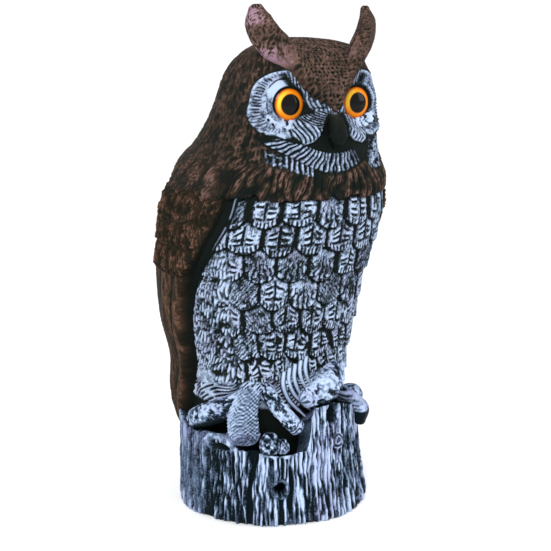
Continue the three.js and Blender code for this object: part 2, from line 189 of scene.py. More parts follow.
def chance(i, j, seed):
    """An even random number from 0 to 1 for each pair of whole numbers."""
    n = (i.astype(np.int64) * 374761393 + j.astype(np.int64) * 668265263 + seed * 974711) & 0xFFFFFFFF
    n = ((n ^ (n >> 13)) * 1274126177) & 0xFFFFFFFF
    n = ((n ^ (n >> 16)) * 2246822519) & 0xFFFFFFFF
    return ((n ^ (n >> 15)) & 0xFFFFFF) / float(0xFFFFFF)


def noise(u, v, seed, around=None):
    """Smooth noise from 0 to 1 with cells one unit wide. It repeats in u after `around` cells."""
    i, j = np.floor(u), np.floor(v)
    fu, fv = u - i, v - j
    fu, fv = fu * fu * (3 - 2 * fu), fv * fv * (3 - 2 * fv)
    i0, i1 = (i, i + 1) if around is None else (np.mod(i, around), np.mod(i + 1, around))
    low = mix(chance(i0, j, seed), chance(i1, j, seed), fu)
    high = mix(chance(i0, j + 1, seed), chance(i1, j + 1, seed), fu)
    return mix(low, high, fv)


def rough(u, v, seed, around=None, octaves=3):
    """Several octaves of noise, from 0 to 1."""
    total, weight, share = 0.0, 0.0, 1.0
    for k in range(octaves):
        scale = 2 ** k
        total = total + share * noise(u * scale, v * scale, seed + k, around and around * scale)
        weight += share
        share *= 0.5
    return total / weight


# %% [markdown]
# ## The smooth figure
#
# The body is a stack of rounded sections, each with its own width and reach to the front and back,
# joined by a smooth curve. The folded wing is a thickness added behind a line that runs down the
# flank. These are the solids' own numbers, so the detailed shell lies where the solid lies.

# %% The figure's sections
OWL_HEIGHT = 1000 * (cad_high.z - cad_low.z)
CROWN_TOP = 382.0
CROWN_START = 318.0
CROWN_Y = -38.0
FIGURE_BOTTOM = 45.0
COLLAR_LINE = 262.0
SECTION_NAMES = ("z", "half", "front", "back", "mid", "square_front", "square_back", "wing", "edge")
SECTIONS = np.array([
    (40, 60, 50, 64, 8, 2.2, 2.2, 0, 112),
    (64, 62, 52, 84, 9, 2.2, 2.3, 8.5, 109),
    (85, 63, 52, 90, 10, 2.2, 2.4, 10, 106),
    (115, 61.5, 53, 88, 8, 2.2, 2.4, 11.5, 101),
    (150, 70, 58, 89, 8, 2.2, 2.4, 12, 93),
    (190, 75, 68, 88, 6, 2.2, 2.4, 11.5, 84),
    (220, 82, 78, 86, 2, 2.2, 2.4, 5.5, 70),
    (246, 83.5, 86, 81, -4, 2.2, 2.4, 4, 61),
    (265, 80, 89, 77, -10, 2.3, 2.4, 3.5, 60),
    (285, 72.5, 91, 73, -18, 2.5, 2.4, 3, 62),
    (300, 65.5, 91, 59, -26, 2.5, 2.4, 1, 64),
    (318, 62, 91, 43, -34, 2.5, 2.3, 0, 64),
    (335, 58.5, 90, 34, -40, 2.5, 2.3, 0, 64),
    (350, 58.5, 87, 29, -42, 2.5, 2.3, 0, 64),
    (380, 59, 83, 24, -42, 2.4, 2.2, 0, 64),
], float)


def section(z):
    """The section's values at each height, on a smooth curve through the stations."""
    stations = SECTIONS[:, 0]
    last = len(stations) - 1
    i = np.clip(np.searchsorted(stations, z, side="left") - 1, 0, last - 1)
    span = stations[i + 1] - stations[i]
    t = np.clip((z - stations[i]) / span, 0.0, 1.0)

    def slope(k):
        a, b = np.maximum(k - 1, 0), np.minimum(k + 1, last)
        return (SECTIONS[b] - SECTIONS[a]) / (stations[b] - stations[a])[..., None] * span[..., None]

    t = t[..., None]
    value = ((2 * t**3 - 3 * t**2 + 1) * SECTIONS[i] + (t**3 - 2 * t**2 + t) * slope(i)
             + (3 * t**2 - 2 * t**3) * SECTIONS[i + 1] + (t**3 - t**2) * slope(i + 1))
    return {name: value[..., k] for k, name in enumerate(SECTION_NAMES)}


def wing_mask(turn, z, edge):
    tail_half = mix(30.0, 4.0, rise(z, 110, 190))
    tail = fall(180 - turn, tail_half - 3, tail_half + 3)
    tail = tail * fall(z, 150, 180)
    return rise(turn, edge - 1.2, edge + 1.2) * (1 - 0.5 * tail)


def figure_point(angle, z):
    """Where the direction `angle` at height z meets the smooth body or the folded wing, in mm."""
    s = section(z)
    side, ahead = np.abs(np.sin(np.radians(angle))), np.cos(np.radians(angle))
    power = np.where(ahead > 0, s["square_front"], s["square_back"])
    depth = np.where(ahead > 0, s["front"] + s["mid"], s["back"] - s["mid"])
    reach = ((side / s["half"]) ** power + (np.abs(ahead) / depth) ** power) ** (-1 / power)
    reach = reach + s["wing"] * wing_mask(np.abs(angle), z, s["edge"])
    height = np.clip((z - CROWN_START) / (CROWN_TOP - CROWN_START), 0, 1)
    dome = (1 - height**2.9) ** (1 / 2.4)
    x = reach * np.sin(np.radians(angle)) * dome
    y = CROWN_Y + (s["mid"] - reach * ahead - CROWN_Y) * dome
    return np.stack([x, y, z + 0 * x], -1)


print("the crown is", round(OWL_HEIGHT - CROWN_TOP), "mm below the tufts' tips")

# %% [markdown]
# ## Rows of feathers
#
# The breast is covered in square-shouldered pads, each row lapping over the next. A point's place in
# the pattern is the row it lies in, how far down its feather it is, and how far across. Everything
# else, such as the split along the shaft or the notched tip, is drawn in those two numbers.

# %% Feather rows
FEATHER_TIER = 22.0
FEATHER_TURN = np.degrees(24.0 / 76.0)
FEATHER_ROUND = 0.32
COLLAR_ROUND = 0.1
WING_FEATHERS = 5
BREAST_LIFT = 3.4
WING_LIFT = 2.0
QUILL_LIFT = 1.6


def feather_across(place, row):
    """-1 to 1 across the feather of that row, and the feather's number."""
    shifted = place + np.where(np.mod(row, 2) == 0, 0.0, 0.5)
    number = np.round(shifted)
    return 2 * (shifted - number), number


def feather_line(place, row):
    """How far below the collar the tips of a row end, in rows. No two tips end quite level."""
    off, number = feather_across(place, row)
    uneven = np.where(row < 0, 0.08, 0.24) * (chance(row, number, 30) - 0.5) * (1 - off**2)
    return row + 1 + uneven - np.where(row < 0, COLLAR_ROUND, FEATHER_ROUND) * off**2


def feather_cell(place, down):
    """Row, share of the way down the feather, -1 to 1 across it, and its number."""
    level = np.maximum(0.0, down) / FEATHER_TIER
    row = np.floor(level)
    row = np.where(level >= feather_line(place, row), row + 1, row)
    above = feather_line(place, row - 1)
    along = (level - above) / (feather_line(place, row) - above)
    across, number = feather_across(place, row)
    return row, np.clip(along, 0, 1), across, number


def feather_place(angle, edge):
    """The place across the feathers, counted from the breastbone and again from the wing's edge."""
    turn = np.abs(angle)
    return np.where(turn < edge, angle / FEATHER_TURN, 20 + WING_FEATHERS * (turn - edge) / (180 - edge))


def collar_edge_height(angle):
    """Height of the ruff's scalloped lower edge in each direction."""
    place = feather_place(angle, section(np.full(np.shape(angle), COLLAR_LINE))["edge"])
    ragged = 9.0 * (rough(angle / 8 + 22.5, 0 * angle, 57, around=45) - 0.5)
    return COLLAR_LINE + ragged - FEATHER_TIER * feather_line(place, np.full(np.shape(angle), -1.0))


print("a breast pad is", FEATHER_TIER, "mm long and", round(FEATHER_TURN, 1), "degrees wide")

# %% [markdown]
# ## Laying one carved pattern over another
#
# A skin holds, for every point, how far the carving stands out in millimetres and how much pale and
# brown paint lies there. Each pattern is laid over what is already there, as far as its own mask
# reaches, just as a carver cuts one area after another.

# %% Skin
def new_skin(shape, brown=1.0):
    return {"relief": np.zeros(shape), "pale": np.zeros(shape), "brown": np.full(shape, brown)}


def lay(skin, where, **values):
    for name, value in values.items():
        skin[name] = mix(skin[name], value, where)


def brush(skin, where, relief, pale):
    """Lays a pattern that caught pale paint and no brown."""
    lay(skin, where, relief=relief, pale=pale, brown=0.0)


def bare(skin, where, relief):
    """Lays a cut that caught no paint at all."""
    brush(skin, where, relief, 0.0)


# %% [markdown]
# ## The face
#
# Everything on the face is drawn from the front, once for both sides: `x` is the distance from the
# middle line. Where the two sides differ, `side` is 0 on the owl's right and 1 on its left. Round each
# eye the patterns are polar, with the angle counted from straight outwards towards the crown. The
# places are the eye, the disc's edge by that angle, the brow's line, the top of the striped lobe, and
# the fan under the beak, whose middle, width and stroke depend on the angle below the level.

# %% Face
EYE = np.array([30.2, -74.5, 332.5])
EYE_RADIUS = 12.3
DISC_EDGE = np.array([(-120, 24.5), (-75, 27.5), (-59, 29.4), (-47, 30.4), (-30, 31.4), (-17, 32), (-7, 31.4),
                      (7, 30.5), (24, 30), (40, 28.9), (55, 27.1), (72, 25.4), (92, 24.5), (116, 26)], float)
BROW = np.array([(4, 331), (18, 350), (29, 364), (38, 375), (45, 384)], float)
LOBE_TOP = (9.0, 327.0)
FAN_HEIGHT = 320.0
FAN_MIDDLE = ((0, 17, 30, 42, 62, 80, 90), (59, 48, 39, 34.8, 31.8, 31, 30.5))
FAN_WIDTH = ((10, 18, 30, 60, 90), (3.4, 5.6, 6.8, 7.0, 7.4))
RAY_TURN = ((15, 90), (3.8, 5.2))
SECOND_ROW = ((17, 30, 45, 55), (285.5, 289.5, 294, 297))
MARK_WIDTH = 3.9


def line_side(x, z, points):
    """Distance from a broken line, positive to the left of its way."""
    best = np.full(np.shape(x), 1e9)
    sign = np.ones(np.shape(x))
    for (ax, az), (bx, bz) in zip(points[:-1], points[1:]):
        dx, dz = bx - ax, bz - az
        t = np.clip(((x - ax) * dx + (z - az) * dz) / (dx * dx + dz * dz), 0, 1)
        off = np.hypot(x - ax - t * dx, z - az - t * dz)
        left = np.sign((z - az) * dx - (x - ax) * dz)
        near = off < best
        best, sign = np.where(near, off, best), np.where(near, left, sign)
    return best * sign


def face_places(point):
    """What the patterns of the face are drawn in, by name. Each takes what it needs of it."""
    side = np.where(point[..., 0] < 0, 0, 1)
    x, z = np.abs(point[..., 0]), point[..., 2]
    dx, dy, dz = x - EYE[0], point[..., 1] - EYE[1], z - EYE[2]
    out, around = np.sqrt(dx**2 + dy**2 + dz**2), np.degrees(np.arctan2(dz, dx))
    disc = np.interp(around, DISC_EDGE[:, 0], DISC_EDGE[:, 1], left=24, right=26)
    speck = rough(x / 1.3 + 90 * side, z / 1.3, 11)
    return {"side": side, "x": x, "z": z, "out": out, "around": around, "disc": disc,
            "below_brow": -line_side(x, z, BROW), "speck": speck,
            "blotch": rough(x / 3.0 + 70 * side, z / 3.0, 12), "worn": 0.42 + 0.48 * rise(speck, 0.22, 0.6)}


print("the disc ends", DISC_EDGE[:, 1].min(), "to", DISC_EDGE[:, 1].max(), "mm from the eye's middle")

# %% [markdown]
# The disc round each eye is pale with short dark strokes, on a dark ground that joins both sides.

# %% Facial discs
def carve_disc(skin, on_face, side, x, z, out, around, disc, below_brow, speck, blotch, worn):
    # the dark ground of the whole mask
    under = rise(below_brow, 0.5, 1.6)
    mask = fall(out, disc - 0.2, disc + 0.9) * under
    centre = under * fall(x, 26, 34) * rise(z, 296, 300)
    ground = np.maximum(mask, centre) * on_face
    brush(skin, ground, -0.9, 0.06)

    # pale ground out to a thin line round the disc, with short dark strokes that point at the eye, and
    # specks in place of most of them on the owl's left
    reach = window(around, -84, -76, 98, 110) * under * on_face
    low = fall(around, -22, -4)
    high = rise(around, 62, 76)
    start = mix(mix(18.2, 20.4, rise(around, 20, 45)), 15.0, side)
    ring = window(out, start, start + 0.8, disc - 1.0, disc) * reach
    bend = around / 5.4 + 0.5 * noise(around / 9, out / 5 + 9 * side, 13)
    inner = mix(21.5, 16.5, side) + 2.0 * noise(np.round(bend), 7 * side + 0 * out, 18)
    dash = bars(bend, mix(0.36, 0.6, high), 0.25) * rise(out, inner, inner + 1) \
        * fall(out, disc - 3.2, disc - 1.8)
    dotted = rise(blotch + 0.3 * (speck - 0.5), 0.56, 0.7)
    dotted = np.maximum(dotted, 0.8 * side * rise(blotch + 0.8 * (speck - 0.5), 0.4, 0.56))
    dash = mix(dash, np.maximum(0.8 * dotted, dash * 0.55), low)
    pale = mix(0.95, mix(0.8, 0.25, high), 1 - bump(out, disc - 1.0, 1.2)) * worn
    brush(skin, ring, mix(0.5, -1.1, dash), pale * (1 - 0.85 * dash))

    # blotchy ground between the strokes and the eye, and a solid band along the lower edge
    blot = window(out, 14.5, 15.5, 21.2, 22.2) * fall(around, -34, -8)
    blot = blot * rise(around, -116, -100) * on_face
    lay(skin, blot, relief=mix(-0.7, 0.2, rise(blotch, 0.42, 0.55)),
        pale=0.9 * rise(blotch + 0.3 * speck, 0.42, 0.66))
    band = bump(out, disc - 3.0, 2.0) * window(around, -84, -76, -52, -36) * on_face
    lay(skin, rise(band, 0.3, 0.6), relief=0.3, pale=0.85 * worn)

    # smooth white crescent over the outer upper side of the right eye, thinner down its outer side
    swell = window(around, 4, 34, 60, 92)
    outer = mix(18.4, 20.6, swell)
    crescent = window(out, 14.6, 15.2, outer - 0.6, outer)
    crescent = crescent * window(around, -70, -50, 84, 90) * on_face * (1 - side)
    cut_off = 20.8 - 6.5 * rise(around, 56, 90)
    crescent = crescent * (1 - rise(around, 62, 90) * rise(out, cut_off, cut_off + 0.6))
    brush(skin, crescent, 0.3, mix(0.7 * worn, 0.82, swell))

    # small grey strokes between the brow and the eye
    strip = window(below_brow, 1.2, 2.2, 8.5, 10.5) * rise(out, 15.5, 17.5)
    strip = strip * fall(z, 354, 360) * rise(z, 324, 328) * fall(x, 30, 36) * on_face
    slant = (x - 0.25 * z) / 2.3 + 0.6 * noise(x / 4, z / 3, 14)
    broken = rise(rough(x / 3, z / 2.2 + 40 * side, 15), 0.28, 0.42)
    dash = bars(slant, 0.55, 0.35) * broken
    brush(skin, strip, mix(-0.8, 0.0, dash), 0.15 + 0.55 * dash * (0.5 + speck))


# %% [markdown]
# Between them lie a striped lobe on either side of the beak and the fan of strokes below it.

# %% Lobes, fan and cheeks
def carve_muzzle(skin, on_face, side, x, z, out, around, disc, speck, blotch, **others):
    # the striped lobe that runs from beside the beak to below the eye
    beside, below = x - LOBE_TOP[0], LOBE_TOP[1] - z
    along, off = beside * 0.72 + below * 0.70, beside * 0.70 - below * 0.72
    half = 2.2 + 7.0 * rise(along, 0, 17) * (1 - 0.55 * rise(along, 20, 30))
    lobe = fall(np.abs(off + 0.5), half - 0.6, half + 0.4) * rise(along, -2, 0)
    lobe = lobe * fall(along, 28, 30) * rise(out, 13.4, 14.6) * on_face
    fine = bars((along + 0.05 * off**2 - 0.3 * off) / 1.9 + 0.3 * blotch, 0.5, 0.3)
    bold = bars((x - 0.3 * z) / 3.4 + 0.5 * blotch, 0.64, 0.25)
    low_part = rise(along - 0.35 * off, 12.5, 14.0)
    zebra = mix(fine * (0.45 + 0.8 * speck), bold, low_part)
    rim_of_lobe = rise(np.abs(off + 0.5), half - 1.5, half - 0.8)
    zebra = np.maximum(zebra, 0.8 * rim_of_lobe * rise(along, 12, 18))
    brush(skin, lobe, mix(-0.6, 0.9, zebra), np.clip(zebra * (0.4 + 0.6 * speck), 0, 0.9))

    # the fan of strokes under the beak, in a dark moat
    below = FAN_HEIGHT - z
    low_turn = np.degrees(np.arctan2(below, x))
    off, width = np.hypot(x, below) - np.interp(low_turn, *FAN_MIDDLE), np.interp(low_turn, *FAN_WIDTH)
    fan = fall(np.abs(off), width - 0.5, width + 0.5)
    fan = fan * rise(low_turn, mix(14, 48, side), mix(17, 56, side)) * on_face
    sway = 0.6 * noise(low_turn / 6, np.hypot(x, below) / 5, 16)
    rays = bars(low_turn / np.interp(low_turn, *RAY_TURN) + sway, 0.58, 0.3)
    pale = np.clip(rays * (0.35 + 0.6 * speck + 0.35 * (blotch - 0.5)), 0, 0.85)
    moat = rise(low_turn, 9, 13) * fall(off, width + 1, width + 2.4)
    moat = moat * np.maximum(rise(off, -width - 2.4, -width - 1), fall(disc - out, 0, 1))
    bare(skin, moat * on_face * (1 - lobe) * (z > 280), -1.3)
    brush(skin, fan, mix(-0.6, 1.1, rays), pale * mix(1, 0.6, side * fall(low_turn, 56, 80)))

    # a short second row of marks, on the owl's right only, and worn patches down its left cheek
    number = np.round(x / MARK_WIDTH)
    top = np.interp(x, *SECOND_ROW) + 2.0 * (chance(number, 0 * number, 63) - 0.5)
    second = window(x, 17, 19, 50, 54) * (side == 0)
    second = second * fall(np.abs(z - top + 2.0), 4.0, 5.2) * (1 - fan) * on_face
    posts = bars(x / MARK_WIDTH + 0.25 * noise(x / 5, z / 6, 17), 0.45, 0.3)
    posts = np.maximum(posts, bump(z, top - 5.0, 0.9) * (chance(number, 0 * number, 64) < 0.5))
    posts = np.maximum(posts, bump(z, top + 1.2, 0.9) * (chance(number, 0 * number, 65) < 0.3))
    posts = posts * mix(1, 1.3 * speck, rise(x, 40, 42))
    brush(skin, second, mix(-0.9, 0.7, posts), posts * (0.35 + 0.7 * speck))
    droop = z + 0.35 * (x - 40) + 6.0 * (blotch - 0.5)
    cheek = (side == 1) * rise(x, 30, 38) * fall(x + 0.4 * (310 - z), 58, 66) * on_face
    cheek = cheek * window(droop, 280, 284, 306, 318)
    patch = rise(blotch + 0.6 * (speck - 0.5), 0.4, 0.56)
    brush(skin, cheek * (1 - fan) * rise(out, disc - 1, disc + 1), mix(-1.2, 0.3, patch),
          patch * (0.3 + 0.6 * speck))

    # black round the eye, thicker towards the brow and the beak, and round the beak
    thick = EYE_RADIUS + 2.4 + 3.2 * bump(np.abs(around), 150, 50)
    lay(skin, fall(out, thick - 0.6, thick + 0.6) * on_face, pale=0.0, brown=0.0)
    mouth = fall(np.hypot(x / 14.5, (z - 309) / 13.5), 0.86, 1.0) * (z < 325) * on_face
    bare(skin, mouth * (1 - lobe), -1.0)


def carve_face(skin, point, on_face):
    places = face_places(point)
    carve_disc(skin, on_face, **places)
    carve_muzzle(skin, on_face, **places)


# %% [markdown]
# ## Crown, collar, breast and wings
#
# The crown is pitted in rows, the nape is cut in short strokes, and the collar hangs in locks. The
# breast's pads are cut by a shaft, cross strokes and a comb of notches at the tip, or by a fan of
# strokes. The flank is ticked, the thigh hangs in flames, and the wing is mottled above and ribbed
# with long feathers below. `arc` is the distance round the figure from the breastbone. `lap` goes from
# 0 to 1 round the figure, so that paint drawn with it has no seam behind.

# %% Figure carving
MIRROR_SHIFT = 400.0
WILD_ROWS = (3.2, 5.4)
CROSSED, FANNED = 0.66, 0.9
CROSS_STROKES = ((0.27, 35), (0.46, 36), (0.64, 37))


def unlike_sides(arc):
    """The distance from the middle, moved on the owl's right so that the two sides aren't mirrored."""
    return np.abs(arc) + MIRROR_SHIFT * (arc < 0)


def carve_crown(skin, point, arc, where):
    up = point[..., 2] + 0.8 * (point[..., 1] + 90)
    up = up + 2.2 * noise(arc / 6, up / 8, 20)
    row = np.round(up / 3.7)
    across = point[..., 0] / 3.5 + np.where(np.mod(row, 2) == 0, 0.0, 0.5) + 1.0 * noise(arc / 5, row, 21)
    number = np.round(across)
    width = 0.5 + 0.35 * chance(row, number, 19)
    pit = bump(2 * (across - number), 0, width) * bump(2 * (up / 3.7 - row), 0, 0.6)
    pit = pit * (0.2 + chance(row, number, 22))
    speck = rough(arc / 1.3, up / 1.3, 23)
    lay(skin, where, relief=0.2 - 1.2 * pit,
        brown=(0.45 + 0.95 * speck) * (1 - 1.1 * rise(pit, 0.2, 0.5)))


def carve_nape(skin, arc, lap, z, where):
    slant = 0.25 * z + 2.0 * noise(lap * 32, z / 16, 25, around=32)
    cut = strokes((unlike_sides(arc) + slant) / 3.4, z / 6.5, 26, 0.5, 0.7)
    fine = rise(rough(lap * 150, z / 3.4, 27, around=150), 0.38, 0.58)
    tuft = rough(lap * 64, z / 9, 28, around=64)
    lay(skin, where, relief=-0.6 * cut + 0.5 * (fine - 0.5) + 0.5 * (tuft - 0.5),
        brown=(0.15 + 0.95 * fine) * (1 - 0.75 * cut) * (0.5 + 0.75 * tuft))


def carve_collar(skin, arc, z, where):
    """Locks that hang down over the breast, each with fine furrows, dark between them."""
    fanned = arc / (1 + np.clip(292 - z, 0, 40) / 90)
    swirl = 1.6 * noise(arc / 13, z / 10, 38)
    lock = bars(fanned / 6.2 + swirl, 0.7, 0.35)
    fold = rough(fanned / 6.5, z / 9, 29)
    fine = strokes(fanned / 1.9 + swirl, z / 6.0, 24, 0.5, 0.75)
    lit = lock * (1 - 0.75 * fine) * rise(fold, 0.26, 0.5)
    lay(skin, where, relief=1.5 * (lock - 0.6) + 1.0 * (fold - 0.5) - 0.6 * fine,
        brown=np.clip(lit * (0.5 + 1.1 * fold), 0, 1.2))


def carve_breast(skin, arc, z, cell, where):
    row, along, across, number = cell
    off = np.abs(across)
    wild = rise(row, *WILD_ROWS)
    speck = rough(arc / 1.2, z / 1.2, 32)
    blotch = rough(arc / 4.0, z / 3.4, 33)
    ragged = (0.3 + 0.2 * wild) * (blotch - 0.5) + 0.25 * (speck - 0.5)
    kind = chance(number, row, 45)

    # the pad, dark at its top as painted shadow under the tips of the row above, and dark round its tip and
    # in a gap beside it
    gap = 1.02 - 0.24 * chance(number, row, 40) ** 2
    pad = fall(off + ragged, gap - 0.12, gap)
    pad = pad * rise(along + 0.5 * ragged, 0.0, 0.12) * fall(along + 0.25 * ragged, 0.9, 0.98)

    # some are cut with a shaft and pairs of cross strokes
    lean = 0.16 * (chance(number, row, 31) - 0.5)
    shaft = fall(np.abs(across - 2 * lean), 0.045, 0.1)
    crossed = shaft * window(along, 0.1, 0.18, 0.66, 0.76)
    glow = 0.0
    half = np.where(across > 0, 1, 2)
    reach = window(off, 0.1, 0.17, 0.5, 0.68)
    for level, seed in CROSS_STROKES:
        shown = chance(number * 3 + half, row, seed) < 0.86
        shift = 0.07 * (chance(number + 9 * half, row, seed + 6) - 0.5)
        height = np.abs(along - level - shift - lean * across)
        crossed = np.maximum(crossed, fall(height, 0.026, 0.055) * reach * shown)
        glow = np.maximum(glow, bump(height, 0.09, 0.035) * reach * shown)

    # some with a fan of strokes, some with slanting ones, and most end in a comb of teeth
    ray = np.degrees(np.arctan2(across - 3 * lean, 0.5 + 1.7 * along)) / 12 + 1.3 * (blotch - 0.5)
    fan = (1 - bars(ray, 0.58, 0.3)) * rise(along + 0.8 * (speck - 0.5), 0.22, 0.45)
    tilt = np.where(chance(number, row, 47) < 0.5, 0.8, -0.8)
    slanted = (1 - bars((arc + tilt * z) / 3.4 + 1.6 * blotch, 0.6, 0.3)) * rise(speck, 0.3, 0.45)
    cut = np.where(kind < CROSSED, crossed, np.where(kind < FANNED, fan, 0.8 * slanted))
    comb = rise(along + 0.12 * off, 0.72, 0.82) * (1 - bars(across * 4.1 + 0.7 * blotch, 0.56, 0.25))
    cut = np.maximum(cut, np.where(kind < CROSSED, comb * 0.95, 0))
    cut = np.maximum(cut, rise(blotch + 0.45 * (speck - 0.5), 0.42, 0.3) * (0.55 + 0.45 * wild))

    # mid-blue over all, brighter on the teeth, beside the strokes and on a few whole pads
    barbs = strokes(arc / 1.9 + 0.5 * across, z / 4.4, 44, 0.5, 0.8)
    tone = 0.3 + 0.22 * chance(number, row, 48) + 0.25 * barbs + 0.5 * (blotch - 0.5) + 0.6 * (speck - 0.5)
    teeth = rise(along, 0.74, 0.84) * (1 - comb)
    tone = tone + 0.4 * glow * (kind < CROSSED) + 0.3 * teeth + 0.2 * bump(off, gap - 0.22, 0.12)
    brush(skin, where, mix(-1.4, 0.15 * barbs, pad) - 0.9 * cut * pad,
          np.clip(tone, 0.12, 0.9) * pad * (1 - 0.9 * cut))


def carve_flank(skin, arc, z, where):
    """Short upright ticks in rows, like the teeth of many small combs."""
    level = z / 7.6 + 1.7 * noise(arc / 9, z / 14, 46) + 0.25 * noise(arc / 3, z / 4, 66)
    sway = 1.3 * noise(arc / 11, z / 9, 41)
    tick = strokes(arc / 3.1 + sway, level, 42, 0.55, 0.75)
    speck = rough(arc / 1.3, z / 1.6, 43)
    blotch = rough(arc / 7, z / 7, 54)
    rung = fall(np.abs(level - np.round(level)), 0.05, 0.22)
    pale = (0.22 + 0.7 * tick + 0.4 * rung) * (0.25 + 1.25 * blotch) + 0.35 * (speck - 0.5)
    dark = rise(blotch + 0.4 * (speck - 0.5), 0.34, 0.26)
    brush(skin, where, mix(-1.1, 0.1, tick) - 0.5 * dark, np.clip(pale, 0, 0.85) * (1 - 0.8 * dark))


def carve_thigh(skin, arc, z, where):
    """Flame-like locks that sweep down and outwards over the feet."""
    bend = 8.0 * noise(arc / 15, z / 11, 47)
    flow = (z - 0.5 * arc + bend) / 3.2
    lock = 1 - strokes(flow, (arc + 0.5 * z) / 24, 48, 0.45, 0.9, 0.3)
    fine = bars(flow * 2 + 0.5, 0.5, 0.4) * rise(noise(arc / 5, z / 5, 50), 0.4, 0.6)
    broad = rough(arc / 9, z / 7, 49)
    speck = rough(arc / 1.4, z / 1.4, 67)
    pale = (0.14 + 0.86 * lock) * (1 - 0.45 * fine) * (0.3 + 1.2 * broad) + 0.3 * (speck - 0.5)
    brush(skin, where, mix(-1.4, 0.5, lock) + 1.6 * (broad - 0.5), np.clip(pale, 0, 0.95))


def carve_wing(skin, arc, lap, z, place, cell, where, coverts):
    """Mottled coverts in rows, and long feathers below them with a shaft and slanting barbs."""
    mirrored = unlike_sides(arc)
    cut = np.maximum(strokes(mirrored / 2.6 + 0.02 * z, z / 6.5, 51, 0.5, 0.75),
                     strokes(mirrored / 1.8, z / 3.6, 53, 0.45, 0.6))
    blotch = rough(lap * 90, z / 9.0, 52, around=90)
    speck = rough(lap * 360, z / 1.9, 68, around=360)
    shade = rise(blotch + 0.6 * (speck - 0.5), 0.34, 0.6)
    shadow = np.maximum(fall(cell[1], 0.03, 0.2), rise(np.abs(cell[2]) + 0.6 * (blotch - 0.5), 0.85, 1.0))
    shade = shade * (1 - 0.6 * shadow * (cell[1] > 0))
    lay(skin, where * coverts, relief=mix(0.2, -0.7, cut) + 1.6 * (shade - 0.5), pale=0.0,
        brown=(0.16 + 1.0 * shade) * (1 - 0.7 * cut))
    across, number = feather_across(place, 0 * z)
    off = np.abs(across)
    barb = strokes((z + 9.0 * off + 1.5 * blotch) / 2.3, off * 3.0 + 5.0 * number, 69, 0.5, 0.85)
    shaft = fall(off, 0.04, 0.1)
    between = rise(off + 0.3 * (blotch - 0.5), 0.86, 0.98)
    streak = rise(rough(lap * 170, z / 24, 95, around=170) + 0.3 * (speck - 0.5), 0.3, 0.6)
    lay(skin, where * (1 - coverts), relief=0.5 * shaft - 0.25 * barb - 1.0 * between, pale=0.0,
        brown=(0.3 + 0.66 * streak) * (0.65 + 0.8 * speck) * (1 - 0.25 * barb) * (1 - 0.85 * between))


# %% [markdown]
# ## The whole owl
#
# For any grid of directions and heights, the next cells work out the smooth figure, the form that the
# solids have too, the carving and the paint. First come the places: how far round from the breastbone
# each point lies, how far in front of the wing's edge, and on which feather. The rows are drawn a
# little unevenly, and more so towards the feet.

# %% Places on the owl
COVERT_ROWS = 3
COVERTS_END = COLLAR_LINE - COVERT_ROWS * FEATHER_TIER
FLANK_RADIUS = 78.0
SLOPE_STEP = 1.5


def surface_normal(angle, z):
    """The way out of the smooth figure, from four points close by."""
    step = SLOPE_STEP
    along = figure_point(angle + step, z) - figure_point(angle - step, z)
    up = figure_point(angle, np.minimum(z + step, CROWN_TOP - 0.01)) - figure_point(angle, z - step)
    normal = np.cross(along, up)
    return normal / np.maximum(np.linalg.norm(normal, axis=-1, keepdims=True), 1e-9)


def figure_places(angle, z):
    """What the patterns of the owl are drawn in, by name. Each takes what it needs of it."""
    s = section(z)
    smooth = figure_point(angle, z)
    edge, turn = s["edge"], np.abs(angle)
    arc = np.radians(angle) * np.hypot(smooth[..., 0], smooth[..., 1] - s["mid"])
    place = feather_place(angle, edge)
    down = COLLAR_LINE - z
    drift = (0.35 + 1.1 * rise(down, 70, 130)) * rise(down, 4, 16)
    down_drawn = down + 6.0 * drift * (rough(arc / 17, z / 15, 55) - 0.5)
    place_drawn = place + 0.3 * drift * (rough(arc / 15, z / 19, 56) - 0.5)
    return {"angle": angle, "z": z, "turn": turn, "edge": edge, "smooth": smooth, "arc": arc, "place": place,
            "front": rise(-smooth[..., 1], 42, 50), "brow": line_side(np.abs(smooth[..., 0]), z, BROW),
            "collar_edge": collar_edge_height(angle), "cell": feather_cell(place_drawn, down_drawn),
            "edge_mm": (edge - turn) * np.radians(1.0) * FLANK_RADIUS,
            "coverts": rise(z, COVERTS_END - 1, COVERTS_END)}


print("coverts from", COLLAR_LINE, "down to", COVERTS_END, "mm, long feathers below them")

# %% [markdown]
# The form that the solids have too: the collar's step, the lapping pads, the thighs, the coverts and
# quills, the rim of the disc and the forehead.

# %% Form of the owl
COLLAR_STEP = 3.2
THIGHS = ((-62.0, 104.0), (18.0, 101.0))
THIGH_BULGE = 6.0
DISC_RIM = 2.2
CHIN_LIFT = 2.0
CHIN_HEIGHT = 296.0
TUFT_ROOT = (35.0, -66.0)
TUFT_ROOT_LIFT = 5.0
FOREHEAD = 3.0


def disc_ring(x, z):
    """1 on the raised rim of the facial disc, less inside it."""
    return np.hypot((x - 33) / 26, (z - 332) / 25)


